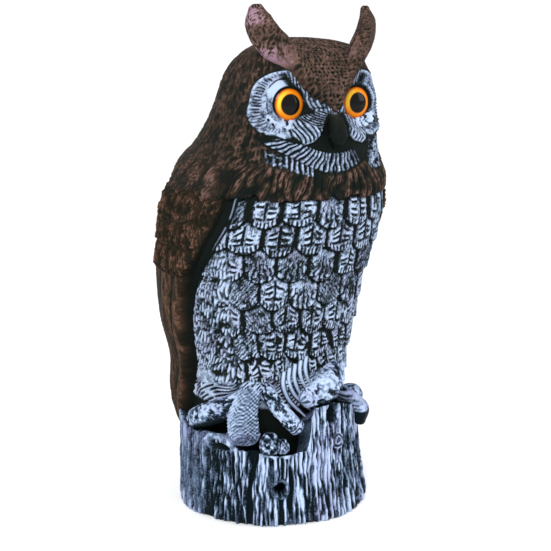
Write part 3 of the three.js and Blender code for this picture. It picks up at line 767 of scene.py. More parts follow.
def figure_form(angle, z, turn, edge, smooth, place, front, brow, collar_edge, cell, coverts, **others):
    feather = (0.25 + 0.75 * cell[1] * fall(cell[1], 0.94, 1.0)) * (1 - 0.45 * cell[2] ** 4)
    collar = window(z, collar_edge, collar_edge + 1.2, 272, 290)
    form = collar * COLLAR_STEP * mix(0.2, 1, fall(turn, 55, 70))
    rows = window(z, 100, 109, collar_edge - 1, collar_edge)
    belly = fall(turn, edge - 10, edge - 3)
    form = form + belly * rows * BREAST_LIFT * feather
    for middle, height in THIGHS:
        form = form + THIGH_BULGE * bump(angle, middle, 24) * bump(z, height, 17)
    on_wing = rise(turn, edge + 1, edge + 6)
    form = form + on_wing * rows * coverts * WING_LIFT * (0.6 + feather)
    quills = QUILL_LIFT * (0.3 + 0.5 * np.cos(2 * np.pi * place))
    form = form + on_wing * (1 - coverts) * rise(z, 70, 84) * quills
    x, y = np.abs(smooth[..., 0]), smooth[..., 1]
    tuft_root = bump(np.hypot(x - TUFT_ROOT[0], y - TUFT_ROOT[1]), 0, 17)
    form = form + front * rise(z, 284, 290) * (
        DISC_RIM * bump(disc_ring(x, z), 1.04, 0.12) + CHIN_LIFT * bump(z, CHIN_HEIGHT, 7) * fall(x, 36, 52)
        + TUFT_ROOT_LIFT * tuft_root * rise(z, 355, 366))
    return form + FOREHEAD * front * rise(brow, -1, 5) * window(z, 326, 340, 362, 376)


# %% [markdown]
# The carving and the paint, laid one over another from the nape to the face.

# %% Skin of the owl
WORN_PATCH = (-80.0, 112.0)
SEAM_TURN = 60.5
SHOULDER_TOP = 282.0


def carve_plumage(skin, angle, z, turn, edge, smooth, arc, place, front, brow, collar_edge, cell, edge_mm,
                  coverts):
    # the head above the collar's edge, and the body below it
    above = rise(z, collar_edge - 0.35, collar_edge - 0.05)
    lap = angle / 360 + 0.5
    carve_nape(skin, arc, lap, z, above)
    crown = above * front * rise(brow, -0.5, 0.8) * rise(z, 328, 334)
    crown = np.maximum(crown, rise(z, 366, 372) * rise(-smooth[..., 1], -20, 0))
    carve_collar(skin, arc, z, above * fall(z, 284, 290) * fall(turn, 60, 66))
    carve_crown(skin, smooth, arc, crown)
    body = 1 - above
    carve_breast(skin, arc, z, cell, body)
    carve_flank(skin, arc, z, rise(turn, 50, 55) * fall(z, 205, 225) * body)
    carve_thigh(skin, arc, z, fall(z - 0.1 * arc, 114, 121) * body)
    lay(skin, fall(z, 88, 93) * body, relief=-1.0, pale=0.0)
    beside, above_it = angle - WORN_PATCH[0], z - WORN_PATCH[1]
    worn = fall(np.hypot(beside / 13, (above_it - 0.2 * beside) / 6.5), 0.75, 1.05)
    lay(skin, worn * body, relief=0.6, pale=0.7 + 0.7 * (rough(arc / 2.5, z / 2.5, 94) - 0.5))

    # the dark groove in front of the wing, with a pale line along it
    reach = mix(4.0, 10.5, rise(z, 160, 200))
    groove = body * fall(edge_mm, reach, reach + 1.5) * fall(z, 268, 272)
    bare(skin, groove, -1.6)
    line = bump(edge_mm, 8.6, 1.0) * (1 - bump(z, 205, 18)) * rise(z, 136, 142) * body
    line = line * rise(noise(z / 9, 0 * z, 92), 0.25, 0.5)
    brush(skin, line, 0.0, 0.6)

    # the wing, which runs on over the shoulder behind a dark fold, and the back evened out with it
    seam = SEAM_TURN - 0.3 * (z - COLLAR_LINE) + 2.0 * noise(z / 7, 0 * z, 96)
    soft = mix(1.5, 26, rise(turn, 64, 80))
    shoulder = above * rise(turn, seam, seam + 2) * fall(z, SHOULDER_TOP, SHOULDER_TOP + soft)
    fold = bump(turn, seam, 1.8) * fall(z, SHOULDER_TOP - 2, SHOULDER_TOP + 2)
    fold = np.maximum(fold, bump(z, SHOULDER_TOP + 1, 1.6) * window(turn, 54, 57, 68, 76))
    wing = np.maximum(rise(turn, edge - 0.8, edge + 0.8) * body, shoulder)
    carve_wing(skin, arc, lap, z, place, cell, wing, coverts)
    brown = skin["brown"]
    even = np.minimum(mix(1.4, 2.2, shoulder) * brown, mix(0.55, 0.85, shoulder) + 0.3 * brown)
    lay(skin, above * rise(turn, 62, 74) * (1 - crown), brown=even)
    lay(skin, above * fold, relief=-1.2, brown=0.05)
    # painted shade: the brown is darker over the coverts' first few millimetres behind the wing's front edge
    skin["brown"] = skin["brown"] * mix(1, 0.3 + 0.7 * rise(-edge_mm, 0.5, 2.5), body * coverts)
    carve_face(skin, smooth, front * window(z, 278, 281, 362, 366))


# %% [markdown]
# Each eye sits in a flat dish of the disc, with the lid as a ring round it.

# %% Sockets, and all together
EYE_TURN = 3.4
LID_WIDTH = 4.2
LID_HEIGHT = 1.6


def eye_axis(side):
    """The centre of the eye on that side, and the way it looks."""
    turn = np.radians(EYE_TURN)
    return EYE * (side, 1, 1), np.array([side * np.sin(turn), -np.cos(turn), 0.0])


def seat_eyes(points, skin):
    """Dishes the disc to the plane that each eye sits in, and raises the lid as a ring."""
    for side in (-1, 1):
        centre, look = eye_axis(side)
        offset = points - centre
        depth = offset @ look
        out = np.sqrt(np.maximum((offset**2).sum(-1) - depth**2, 0))
        lid = LID_HEIGHT * bump(out, EYE_RADIUS + LID_WIDTH / 2, LID_WIDTH * 0.6)
        x, z = np.abs(points[..., 0]), points[..., 2]
        hold = fall(disc_ring(x, z), 0.5, 1.02)
        hold = hold * (points[..., 0] * side > 0) * (points[..., 1] < -40) * (z > 290)
        points += (hold * (lid + skin["relief"] - depth))[..., None] * look


def carve_figure(angle, z, tuck=0.0):
    """Points in mm and the skin of the owl, for a grid of directions and heights."""
    places = figure_places(angle, z)
    skin = new_skin(np.shape(z))
    carve_plumage(skin, **places)
    out = figure_form(**places) + skin["relief"] - tuck
    points = places["smooth"] + surface_normal(angle, z) * out[..., None]
    seat_eyes(points, skin)
    return points, skin


# %% [markdown]
# ## From a carved grid to a mesh
#
# Every carved piece is a grid of rings, closed by a pole at each end. Its three numbers per point go
# into the mesh as attributes, which the paint reads later. The owl's skin is cut into three such
# pieces where a dark edge hides the join: the head above the collar's edge, the breast in front of
# the wings' edges, and the mantle of wings and back. Outside its own part, each one runs on a few
# millimetres further in, out of sight, so that it stays closed.

# %% Grid to mesh
BOX_GAP = 0.02 * MM


def more_rows(skin, below=0, above=0, share=1.0):
    """The skin with its lowest row repeated below it, and its highest above, at a share of its values."""
    return {key: np.concatenate([np.repeat(value[:1], below, 0), value,
                                 np.repeat(value[-1:], above, 0) * share]) for key, value in skin.items()}


def ring_faces(rows, columns, first):
    """Quads of a closed grid of rings, and the fans that close both ends on two poles."""
    at = first + np.arange(rows * columns).reshape(rows, columns)
    beside = np.roll(at, -1, axis=1)
    quads = np.stack([at[:-1], beside[:-1], beside[1:], at[1:]], -1).reshape(-1, 4)
    low, high = first + rows * columns, first + rows * columns + 1
    bottom = np.stack([np.full(columns, low), beside[0], at[0]], -1)
    top = np.stack([np.full(columns, high), at[-1], beside[-1]], -1)
    return quads.tolist() + bottom.tolist() + top.tolist()


def carved_mesh(name, grids):
    """One mesh from several grids: each is (points in mm, skin, low pole, high pole)."""
    points, faces, values = [], [], {"relief": [], "pale": [], "brown": []}
    first = 0
    for grid, skin, low, high in grids:
        rows, columns = grid.shape[:2]
        faces += ring_faces(rows, columns, first)
        points.append(np.concatenate([grid.reshape(-1, 3), [low, high]]))
        for key, parts in values.items():
            flat = np.broadcast_to(skin[key], (rows, columns)).reshape(-1)
            parts.append(np.concatenate([flat, [flat[0], flat[-1]]]))
        first += rows * columns + 2
    mesh = bpy.data.meshes.new(name)
    inside = np.clip(np.concatenate(points) * MM, np.array(cad_low) + BOX_GAP, np.array(cad_high) - BOX_GAP)
    mesh.from_pydata(inside.tolist(), [], faces)
    for key, parts in values.items():
        store(mesh, key, np.concatenate(parts))
    mesh.shade_smooth()
    print(name, "has", sum(len(face) - 2 for face in faces), "triangles")
    return add_object(name, mesh)


def spread(*runs):
    """Numbers along several runs (from, to, count), joined end to end and open at the far end."""
    return np.concatenate([np.linspace(low, high, count, endpoint=False) for low, high, count in runs])


# %% [markdown]
# ## Limbs
#
# Brows with their ear tufts, the beak, legs and toes are swept: an oval that changes size while it
# follows a smooth line through a few points. Its ends are rounded, and its skin can be carved like
# the rest.

# %% Sweeping a limb
def smooth_line(nodes, t):
    """Points on a centripetal Catmull-Rom curve through the nodes, for t from 0 to 1."""
    nodes = np.asarray(nodes, float)
    ends = np.concatenate([[2 * nodes[0] - nodes[1]], nodes, [2 * nodes[-1] - nodes[-2]]])
    place = np.clip(t, 0, 1) * (len(nodes) - 1)
    i = np.minimum(place.astype(int), len(nodes) - 2)
    u = (place - i)[:, None]
    p0, p1, p2, p3 = (ends[i + k] for k in range(4))
    d0, d1, d2 = (np.sqrt(np.linalg.norm(b - a, axis=1))[:, None] for a, b in ((p0, p1), (p1, p2), (p2, p3)))
    m1 = ((p1 - p0) / d0 - (p2 - p0) / (d0 + d1) + (p2 - p1) / d1) * d1
    m2 = ((p2 - p1) / d1 - (p3 - p1) / (d1 + d2) + (p3 - p2) / d2) * d1
    return (p1 + m1 * u + (-3 * p1 + 3 * p2 - 2 * m1 - m2) * u**2 + (2 * p1 - 2 * p2 + m1 + m2) * u**3)


def sweep(nodes, widths, flat=1.0, broad=None, steps=60, sides=40, carve=None, square=1.0):
    """A grid for carved_mesh: an oval swept along the nodes, or a rounded oblong where `square` is under 1.
    `carve` fills its skin."""
    t = np.linspace(0, 1, steps)
    centre = smooth_line(nodes, t)
    tangent = smooth_line(nodes, np.minimum(t + 1e-3, 1)) - smooth_line(nodes, np.maximum(t - 1e-3, 0))
    tangent /= np.linalg.norm(tangent, axis=1, keepdims=True)
    radius = np.interp(t * (len(widths) - 1), np.arange(len(widths)), widths)
    cap = np.sin(np.linspace(0, np.pi / 2, 8))[1:-1]
    centre = np.concatenate([centre[0] - tangent[0] * 0.6 * widths[0] * cap[::-1, None], centre,
                             centre[-1] + tangent[-1] * 0.6 * widths[-1] * cap[:, None]])
    along = np.concatenate([0 * cap, t, 0 * cap + 1])
    ends = [np.repeat(end, len(cap), 0) for end in (tangent[:1], tangent[-1:])]
    tangent = np.concatenate([ends[0], tangent, ends[1]])
    shrink = (1 - cap**2) ** (0.5 * square)
    radius = np.concatenate([widths[0] * shrink[::-1], radius, widths[-1] * shrink])
    if broad is None:
        outward = centre * (1, 1, 0)
        wide = np.cross(tangent, outward / np.linalg.norm(outward, axis=1, keepdims=True))
    else:
        wide = np.repeat([broad], len(centre), 0).astype(float)
    wide -= (wide * tangent).sum(1, keepdims=True) * tangent
    wide /= np.linalg.norm(wide, axis=1, keepdims=True)
    up = np.cross(tangent, wide)
    turn = np.linspace(0, 2 * np.pi, sides, endpoint=False)
    beside, above = (np.sign(part) * np.abs(part) ** square for part in (np.cos(turn), np.sin(turn)))
    ring = wide[:, None] * beside[:, None] + up[:, None] * (flat * above)[:, None]
    points = centre[:, None] + ring * radius[:, None, None]
    outward = wide[:, None] * (np.cos(turn) * flat)[:, None] + up[:, None] * np.sin(turn)[:, None]
    outward /= np.linalg.norm(outward, axis=2, keepdims=True)
    skin = new_skin(points.shape[:2])
    if carve:
        carve(skin, points, along[:, None] + 0 * turn, np.degrees(turn)[None] + 0 * along[:, None])
    hold = np.concatenate([cap, 0 * t + 1, cap[::-1]])[:, None]
    skin = {key: mix(value.mean(1, keepdims=True), value, hold) for key, value in skin.items()}
    points = points + outward * skin["relief"][..., None]
    low, high = centre[0] - tangent[0] * 0.05, centre[-1] + tangent[-1] * 0.05
    return points, skin, low, high


# %% [markdown]
# ## The head
#
# The head carries the finest work, so its rings lie closest together on the face.

# %% Head
FACE_TURN = 66.0
FACE_BOTTOM = 286.0
FACE_TOP = 360.0


def head_grid():
    angle = spread((-180, -FACE_TURN, 90), (-FACE_TURN, FACE_TURN, 290), (FACE_TURN, 180, 90))
    dome = CROWN_TOP - CROWN_START
    rising = np.degrees(np.arcsin((FACE_TOP - CROWN_START) / dome))
    top = CROWN_START + dome * np.sin(np.radians(spread((rising, 89.0, 34))))
    z = np.concatenate([spread((COLLAR_LINE, FACE_BOTTOM, 18), (FACE_BOTTOM, FACE_TOP, 122)), top])
    lift = (collar_edge_height(angle) - COLLAR_LINE)[None] * fall(z, COLLAR_LINE, COLLAR_LINE + 18)[:, None]
    z = z[:, None] + lift + 0.01
    points, skin = carve_figure(angle[None] + 0 * z, z)
    inner, _ = carve_figure(angle[None], z[:1], tuck=5.0)
    return np.concatenate([inner, points]), more_rows(skin, 1), (0, 0, COLLAR_LINE), (0, CROWN_Y, CROWN_TOP)


TUFT_LEAN = 1.8


def carve_brow(skin, points, along, turn):
    x, z = points[..., 0], points[..., 2]
    speck = rough(turn / 7, along * 60, 62)
    blotch = rough(turn / 45, along * 9, 61)
    pit = rise(speck + 0.25 * (blotch - 0.5), 0.42, 0.3)
    # pinker and paler on the side of each brow that faces left, towards the main light, and near the tip of
    # the owl's right tuft: a painted highlight, with no pits cut under it
    painted_highlight = bump(np.mod(turn, 360), 245, 70) * (bump(z, 368, 9) + rise(z, 384, 396) * rise(-x, 0, 20))
    carve_crown(skin, points, x, fall(painted_highlight, 0.1, 0.4))
    skin["brown"] = 0.9 * skin["brown"]
    lay(skin, rise(z, 362, 374), relief=0.15 - 0.5 * pit, brown=(0.45 + 0.9 * speck) * (1 - 0.7 * pit))
    skin["brown"] = skin["brown"] * (1 + 0.9 * painted_highlight)


def brow_grid(side):
    line = [(6, -86.5, 333), (18, -80.5, 350), (29, -74.5, 364), (38, -70.5, 375), (45.2, -67, 384.5),
            (48.8, -64, 394), (49, -61, 402.5)]
    line = [(side * x - TUFT_LEAN * rise(z, 350, 385), y, z) for x, y, z in line]
    return sweep(line, [4.5, 7.5, 11.5, 14, 13, 11, 6], 0.6,
                 (-side * 0.5, -0.87, 0), steps=110, sides=56, carve=carve_brow)


def carve_beak(skin, points, along, turn):
    worn = rise(rough(along * 16, turn / 40, 89), 0.4, 0.6)
    # a painted highlight along the top of the ridge, pale with a little brown, brightest where the beak is
    # least dented
    ridge = bump(along, 0.22, 0.2) * bump(points[..., 0], -1.6, 3.2)
    lay(skin, 1.0, relief=-0.5 * (1 - worn), brown=0.35 * ridge, pale=0.4 * ridge * (0.35 + 0.65 * worn))


def beak_grid():
    line = [(0, -84, 329), (0, -92, 321), (0, -96, 309), (0, -92, 300)]
    return sweep(line, [3.0, 6.5, 7.8, 2.0], 0.85, steps=50, sides=40, carve=carve_beak)


head = carved_mesh("head", [head_grid(), brow_grid(-1), brow_grid(1), beak_grid()])

# %% [markdown]
# ## Breast and mantle
#
# Below the collar the skin is a plain grid of rings about a millimetre apart. It is fine enough to
# carry each feather's step, its shaft and the comb of its tip without following them. The columns
# stand closest where the part shows.

# %% Breast and mantle
def body_grid(angle, own, rows):
    """The part of the figure under the collar where `own` says so, and 6 mm further in elsewhere."""
    edge = collar_edge_height(angle)[None]
    share = np.concatenate([spread((0, 0.14, 6)), np.linspace(0.14, 1, rows)])[:, None]
    z = mix(FIGURE_BOTTOM, edge - 0.4, share)
    tuck = np.where(own(angle[None] + 0 * z, z), 0.0, 6.0)
    points, skin = carve_figure(angle[None] + 0 * z, z, tuck)
    top, _ = carve_figure(angle[None], z[-1:] + 4, 7.0)
    return np.concatenate([points, top]), more_rows(skin, 0, 1), (0, 0, FIGURE_BOTTOM), (0, -4, COLLAR_LINE)


def in_front(angle, z):
    return np.abs(angle) < section(z)["edge"] + 1.5


def behind(angle, z):
    return np.abs(angle) > section(z)["edge"] - 1.5


breast = carved_mesh("breast", [body_grid(spread((-180, -112, 10), (-112, -62, 72), (-62, 62, 270),
                                                 (62, 112, 46), (112, 180, 10)), in_front, 230)])
mantle = carved_mesh("mantle", [body_grid(spread((-180, -60, 240), (-60, -56, 6), (-56, 56, 16), (56, 60, 6),
                                                 (60, 180, 200)), behind, 190)])

# %% [markdown]
# ## The stump
#
# The bark is a skin of upright ridges of uneven width with deep furrows between them. The ledge of
# the broken rim, a notch, furrows, a lip, a hollow, a knot and the drain hole are laid over it one at
# a time, each at its own place, given by the angle round the stump and the height.

# %% Stump
STUMP_RADIUS = 76.0
STUMP_EDGE = 3.0
STUMP_FLARE = 3.4
STUMP_LEAN = 3.4
STUMP_LEAN_WAY = 59.0
BARK_DEPTH = 2.4
RIDGES = 132
WAVES = 7
WAVE_HEIGHT = 0.6
RIM = np.array([(-180, 80), (-110, 76), (-86, 69), (-72, 72), (-60, 73), (-51, 61), (-25, 57.5), (-9, 59),
                (-3, 93), (10, 94), (40, 86), (90, 80), (180, 80)], float)

# What is laid over the bark, by the angle round the stump and the height
LEDGE, NOTCH, FURROW = (-26, 57.5), (-42.5, 57), (-19.5, 28)
LIP, LIP_HOLE, HOLLOW = (-66, 60.5), (-62.5, 61.5), (10.5, 84)
EYE_KNOT, DRAIN_HOLE = (15.5, 62.5), (-26, 30)


def rim_height(angle):
    i = np.clip(np.searchsorted(RIM[:, 0], angle, side="left") - 1, 0, len(RIM) - 2)
    return mix(RIM[i, 1], RIM[i + 1, 1], rise(angle, RIM[i, 0], RIM[i + 1, 0]))


def carve_bark(angle, z, rim):
    """The bark's skin, by the angle round the stump and the height."""
    turn = np.radians(angle)
    cells = turn / (2 * np.pi) + 0.5
    skin = new_skin(np.shape(z), brown=0.0)
    sway = 1.6 * (rough(cells * 24, z / 34, 71, around=24) - 0.5)
    sway = sway + 0.5 * noise(cells * 90, z / 6, 70, around=90)
    u = cells * RIDGES + sway
    ridge = np.mod(np.round(u), RIDGES)
    tone = noise(ridge, z / 40, 72)
    width = 0.3 + 0.75 * noise(ridge + 300, z / 22, 73)
    side = 2 * (u - np.round(u))
    height = fall(np.abs(side), width - 0.4, width + 0.45)
    broad = rough(cells * 26, z / 50, 74, around=26)
    height = height * rise(tone + 0.5 * (broad - 0.5), 0.1, 0.3)
    height = height * (0.55 + 0.45 * rise(rough(cells * 200, z / 12, 80, around=200, octaves=2), 0.3, 0.5))
    fine = rough(cells * 360, z / 9, 76, around=360, octaves=2)
    chip = rough(cells * 150, z / 4.5, 78, around=150, octaves=2)
    under_rim = bump(z, rim - 7, 8)
    # a pale line down the left edge of each ridge, the side towards the main light: a painted highlight
    edge_highlight = bump(side, -0.45 * width, 0.22) * rise(noise(ridge + 600, z / 15, 93), 0.3, 0.6)
    pale = height * (0.17 + 0.5 * tone + 0.5 * (broad - 0.5) + 0.8 * (fine - 0.5) + 0.5 * (chip - 0.5)
                     + 0.5 * edge_highlight + 0.4 * under_rim) + 0.36 * rise(fine + 0.6 * (broad - 0.5), 0.4, 0.7)
    left = fall(angle, -80, -64) * rise(angle, -150, -120)
    smooth_bark = 0.28 + 0.4 * height * tone + 0.3 * (fine - 0.5)
    brush(skin, 1.0, BARK_DEPTH * 1.25 * (height * (0.7 + 0.5 * tone) - 0.65),
          np.clip(mix(pale, smooth_bark, left * 0.75), 0, 0.9))

    def place(at_angle, at_z):
        return np.radians(angle - at_angle) * STUMP_RADIUS, z - at_z

    # a ridge along the broken rim, the black notch beside the middle toe, and two deep furrows
    across, up = place(*LEDGE)
    ledge = bump(across, 0, 15) * bump(up + 0.0022 * across**2 + 3.0 * (chip - 0.5), 0.8, 3.0)
    brush(skin, rise(ledge, 0.2, 0.6), 2.2, 0.4 + 0.9 * (chip - 0.2))
    across, up = place(*NOTCH)
    notch = fall(np.hypot(across / 5.0, up / 9.0), 0.75, 1.1)
    bare(skin, notch, -5.0)
    furrow = bump(across - 0.06 * up - 1.0 * np.sin(z / 6), 0, mix(2.6, 1.6, rise(z, 5, 50)))
    bare(skin, rise(furrow, 0.25, 0.6) * fall(up, -8, 0), -2.6)
    across, up = place(*FURROW)
    furrow = bump(across + 0.05 * up + 1.2 * np.sin(z / 8), 0, 2.6) * bump(up, 0, 22)
    bare(skin, rise(furrow, 0.25, 0.55), -2.6)

    # the arched lip with its hole, beside the outer toe
    across, up = place(*LIP)
    lip = np.abs(np.hypot(across / 1.2, up) - 10.0) + 2.4 * (chip - 0.5)
    brush(skin, fall(lip, 2.2, 3.4) * rise(up, -4, 2), 1.8, 0.35 + 0.8 * (chip - 0.1))
    across, up = place(*LIP_HOLE)
    bare(skin, fall(np.hypot(across / 2.4, up), 2.4, 3.4), -4.0)

    # the dark hollow under the gripping foot
    across, up = place(*HOLLOW)
    hollow = fall(np.hypot(across / (6.0 + 0.3 * up), up / 11) + 0.4 * (chip - 0.5), 0.75, 1.0)
    bare(skin, hollow, -6.0)

    # an eye-like knot with rings, high on the tall side
    across, up = place(*EYE_KNOT)
    out = np.hypot(across / 1.15, up) + 2.4 * (chip - 0.5)
    rings = bars(out / 3.4 + 0.1, 0.5, 0.3)
    brush(skin, fall(out, 6.0, 7.2), mix(-1.6, 1.4, rings), rings * (0.3 + fine))

    # the drain hole, its pale lip and the groove that runs down from it
    across, up = place(*DRAIN_HOLE)
    out = np.hypot(across, up)
    bare(skin, bump(across, 0, 1.7) * fall(up, -6, -3), -2.6)
    brush(skin, bump(out, 7.2, 1.3), 1.0, 0.1 + 0.5 * chip)
    bare(skin, fall(out, 4.7, 5.3), -15.0)
    return skin


def stump_grid():
    angle = spread((-180, -120, 80), (-120, 60, 380), (60, 180, 150))
    share = np.concatenate([[0.0], spread((0.004, 0.97, 100)), [0.985, 1.0]])
    rim = rim_height(angle)[None]
    low = STUMP_EDGE * 1.2
    z = mix(low, rim, share[:, None])
    skin = carve_bark(angle[None] + 0 * z, z, rim)
    turn = np.radians(angle)[None]
    lean = STUMP_LEAN * (np.cos(turn - np.radians(STUMP_LEAN_WAY)) + 0.25)
    flare = (STUMP_FLARE + 1.2 * lean) * (1 - share[:, None]) ** 2
    form = STUMP_RADIUS - 0.5 * BARK_DEPTH + WAVE_HEIGHT * np.sin(WAVES * turn) - lean + flare
    radius = form + skin["relief"]

    # the rounded lower edge, and the broken top that falls away inwards
    curl = np.linspace(0, 1, 6)[:-1, None]
    foot = radius[:1] - STUMP_EDGE * (1 - np.sqrt(1 - (1 - curl) ** 2))
    inwards = np.array([0.4, 1.2, 2.6, 5, 9, 14, 20, 27])[:, None]
    ragged = rough(angle / 7 + 40, inwards / 5, 75)
    top = radius[-1:] - inwards
    top_z = rim - 0.5 * inwards - 3.0 * rise(inwards, 1, 12) * ragged + 0.6
    radius = np.concatenate([foot, radius, top])
    z = np.concatenate([low * curl + 0 * angle, z, top_z])
    skin = more_rows(skin, len(foot), len(top), 0.5)
    points = np.stack([radius * np.sin(turn), -radius * np.cos(turn), z], -1)
    return points, skin, (0, 0, 0), (0, 0, 60)


def on_stump(angle, outside, z):
    r = STUMP_RADIUS + outside
    return (r * np.sin(np.radians(angle)), -r * np.cos(np.radians(angle)), z)


def carve_knot(skin, points, along, turn):
    lump = rough(turn / 72, along * 2.4, 79, around=5)
    speck = rough(turn / 20, along * 9, 77, around=18)
    mottle = rough(points[..., 0] / 1.8, points[..., 2] / 1.8, 97)
    spiral = bars(along * 2.6 + turn / 360 + 1.2 * (lump - 0.5), 0.62, 0.3)
    brush(skin, 1.0, mix(-1.4, 0.3, spiral) + 2.6 * (lump - 0.5) + 1.2 * (speck - 0.5),
          np.clip(mix(0.1, 0.6, spiral) + 0.5 * (speck - 0.5) + 1.6 * (mottle - 0.5), 0, 0.95))


# Each knot: points as angle round the stump, distance outside its skin and height; widths at them;
# flatness; steps along it and sides
KNOTS = (
    ([(-32.5, -14, 62), (-32.3, -8, 65), (-32, -5, 66), (-32, -3, 66.5)], (9.5, 9.4, 8.0, 1.0), 0.85, 60, 54),
    ([(-23.5, -12, 61.5), (-23, -7, 63.5), (-22.5, -5.5, 64)], (6.0, 5.4, 0.8), 0.8, 30, 42),
)
knots = [sweep([on_stump(*node) for node in nodes], widths, flat, (0, 0, 1), steps, sides, carve_knot)
         for nodes, widths, flat, steps, sides in KNOTS]
stump = carved_mesh("stump", [stump_grid()] + knots)

# %% [markdown]
# ## Feet
#
# Each foot is a feathered leg that runs down over the rim, with toes beside it and, over the gripping
# foot, a thick bundle of feathers. The leg hangs in flames above and is cross-hatched below, the toes
# are blotched with ringed tips, and the bundle is fluffy.

# %% Feet
LEG_RADIUS = 11.0
TOE_RADIUS = 6.6


def carve_leg(skin, points, along, turn):
    across, down = STUMP_RADIUS * np.arctan2(points[..., 0], -points[..., 1]), points[..., 2]
    speck = rough(across / 1.1, down / 1.1, 81)
    blotch = rough(across / 4, down / 4, 87)
    drift = 0.4 * noise(across / 7, down / 7, 83)
    one = bars((down + 0.9 * across) / 2.8 + drift, 0.55, 0.4)
    other = bars((down - 0.9 * across) / 2.8 - drift, 0.55, 0.4)
    weave = np.maximum(one * other, 0.5 * np.maximum(one, other))
    flame = 1 - strokes((down - 0.8 * across) / 3.0, (across + 0.6 * down) / 9, 91, 0.45, 0.8)
    upper = fall(along, 0.22, 0.36)
    side = bump(np.mod(turn, 360), 330, 40)
    pale = mix(mix(0.2 + 0.6 * weave, 0.5 + 0.6 * blotch, 0.7 * side), flame * (0.3 + blotch), upper)
    pale = 1.15 * pale * (1 - 0.35 * rise(1.6 * blotch + 2.0 * along, 2.6, 2.9)) + 0.45 * (speck - 0.5)
    claw = rise(points[..., 0], 30, 34) * fall(down, 79, 82)
    brush(skin, 1.0, mix(-0.8, 0.3, mix(weave, flame, upper)) * (1 - claw),
          np.clip(pale, 0, 0.95) * (1 - claw))


def carve_toe(skin, points, along, turn):
    speck = rough(turn / 12, along * 30, 82)
    blotch = rough(turn / 40, along * 8, 86)
    ring = bars(along * 12 + 1.5 * blotch, 0.6, 0.3)
    tip = rise(along, 0.82, 0.92)
    patch = rise(blotch + 0.7 * (speck - 0.5), 0.36, 0.56)
    under = rise(points[..., 2] - points[..., 2].mean(1, keepdims=True), -6.5, -3.0)
    pale = mix(0.2 + 0.65 * patch, 0.15 + 0.7 * ring, tip) * (0.55 + 0.7 * speck)
    brush(skin, 1.0, mix(-0.7, 0.4, mix(patch, ring, tip)), np.clip(pale * under, 0, 1))


def carve_tuft(skin, points, along, turn):
    """Fluffy blotches and short ticks, for the feathering over a toe."""
    broad = rough(along * 9, turn / 34, 85)
    speck = rough(turn / 10, along * 40, 88)
    tick = strokes(turn / 13 + 3.0 * along, along * 12, 84, 0.5, 0.6)
    lump = rise(broad + 0.5 * (speck - 0.5), 0.34, 0.56)
    under = rise(points[..., 2] - points[..., 2].mean(1, keepdims=True), -9.0, -5.0)
    pale = (0.2 + 0.65 * lump) * (1 - 0.5 * tick * (1 - lump)) * (0.35 + 1.1 * speck) * under
    brush(skin, 1.0, mix(-1.6, 0.3, lump) - 0.5 * tick, np.clip(pale, 0, 1))


# Each limb: points as angle round the stump, distance outside its skin and height; and the widths at
# them as shares of the limb's radius
LEGS = (
    ([(-46, -32, 116), (-47, -9, 103), (-48.5, 0, 89), (-47.5, 1, 74)], (0.65, 0.85, 1.1, 1.15)),
    ([(46, -24, 92), (43, -6, 88), (41, 1.5, 81), (39.5, 1, 72)], (0.85, 0.85, 0.85, 0.6)),
)
TOES = (
    ([(-50, -12, 101), (-62, -4.5, 92.5), (-76, -3, 85), (-89, -3.5, 77.5)], (1.1, 1.4, 1.4, 1.25)),
    ([(-38, -22, 108), (-30, -11, 99), (-21, -4, 87), (-15, -3, 79)], (1, 1, 0.95, 0.9)),
    ([(57, -12, 82), (70, -5.5, 83), (84, -4.5, 79), (95, -4.5, 71)], (1.2, 1.2, 1.1, 0.8)),
)
BUNDLES = (([(34, -26, 116), (20, -13, 112), (5, -7, 107), (-8, -9, 100)], (1.5, 1.9, 1.8, 1.1)),)


def limb_grids(limbs, radius, flat, carve, square=1.0):
    return [sweep([on_stump(*node) for node in nodes], [radius * share for share in widths], flat,
                  steps=80, sides=56, carve=carve, square=square) for nodes, widths in limbs]


feet = carved_mesh("feet", limb_grids(LEGS, LEG_RADIUS, 0.62, carve_leg, 0.7)
                   + limb_grids(TOES, TOE_RADIUS, 1.0, carve_toe)
                   + limb_grids(BUNDLES, TOE_RADIUS, 0.8, carve_tuft))

# %% [markdown]
# ## Locks over the foot
#
# Between the two feet, curved locks of feathers hang side by side from the belly. They repeat along
# one path, so Geometry Nodes lay them: a guide line, how many, the step from one to the next, how
# thick, and a seed that makes each a little longer or shorter.

# %% Locks over the foot
LOCK_VALUES = {"Step": (0.0048, -0.0006, 0.0026), "Count": 5, "Thickness": 0.0023,
               "Facing": (-0.45, -0.85, 0.25), "Seed": 4}
LOCK_GUIDE = [(-21, -53.5, 122), (-22, -53.5, 111), (-17.5, -54, 99), (-9, -56, 89), (-1, -58, 81)]


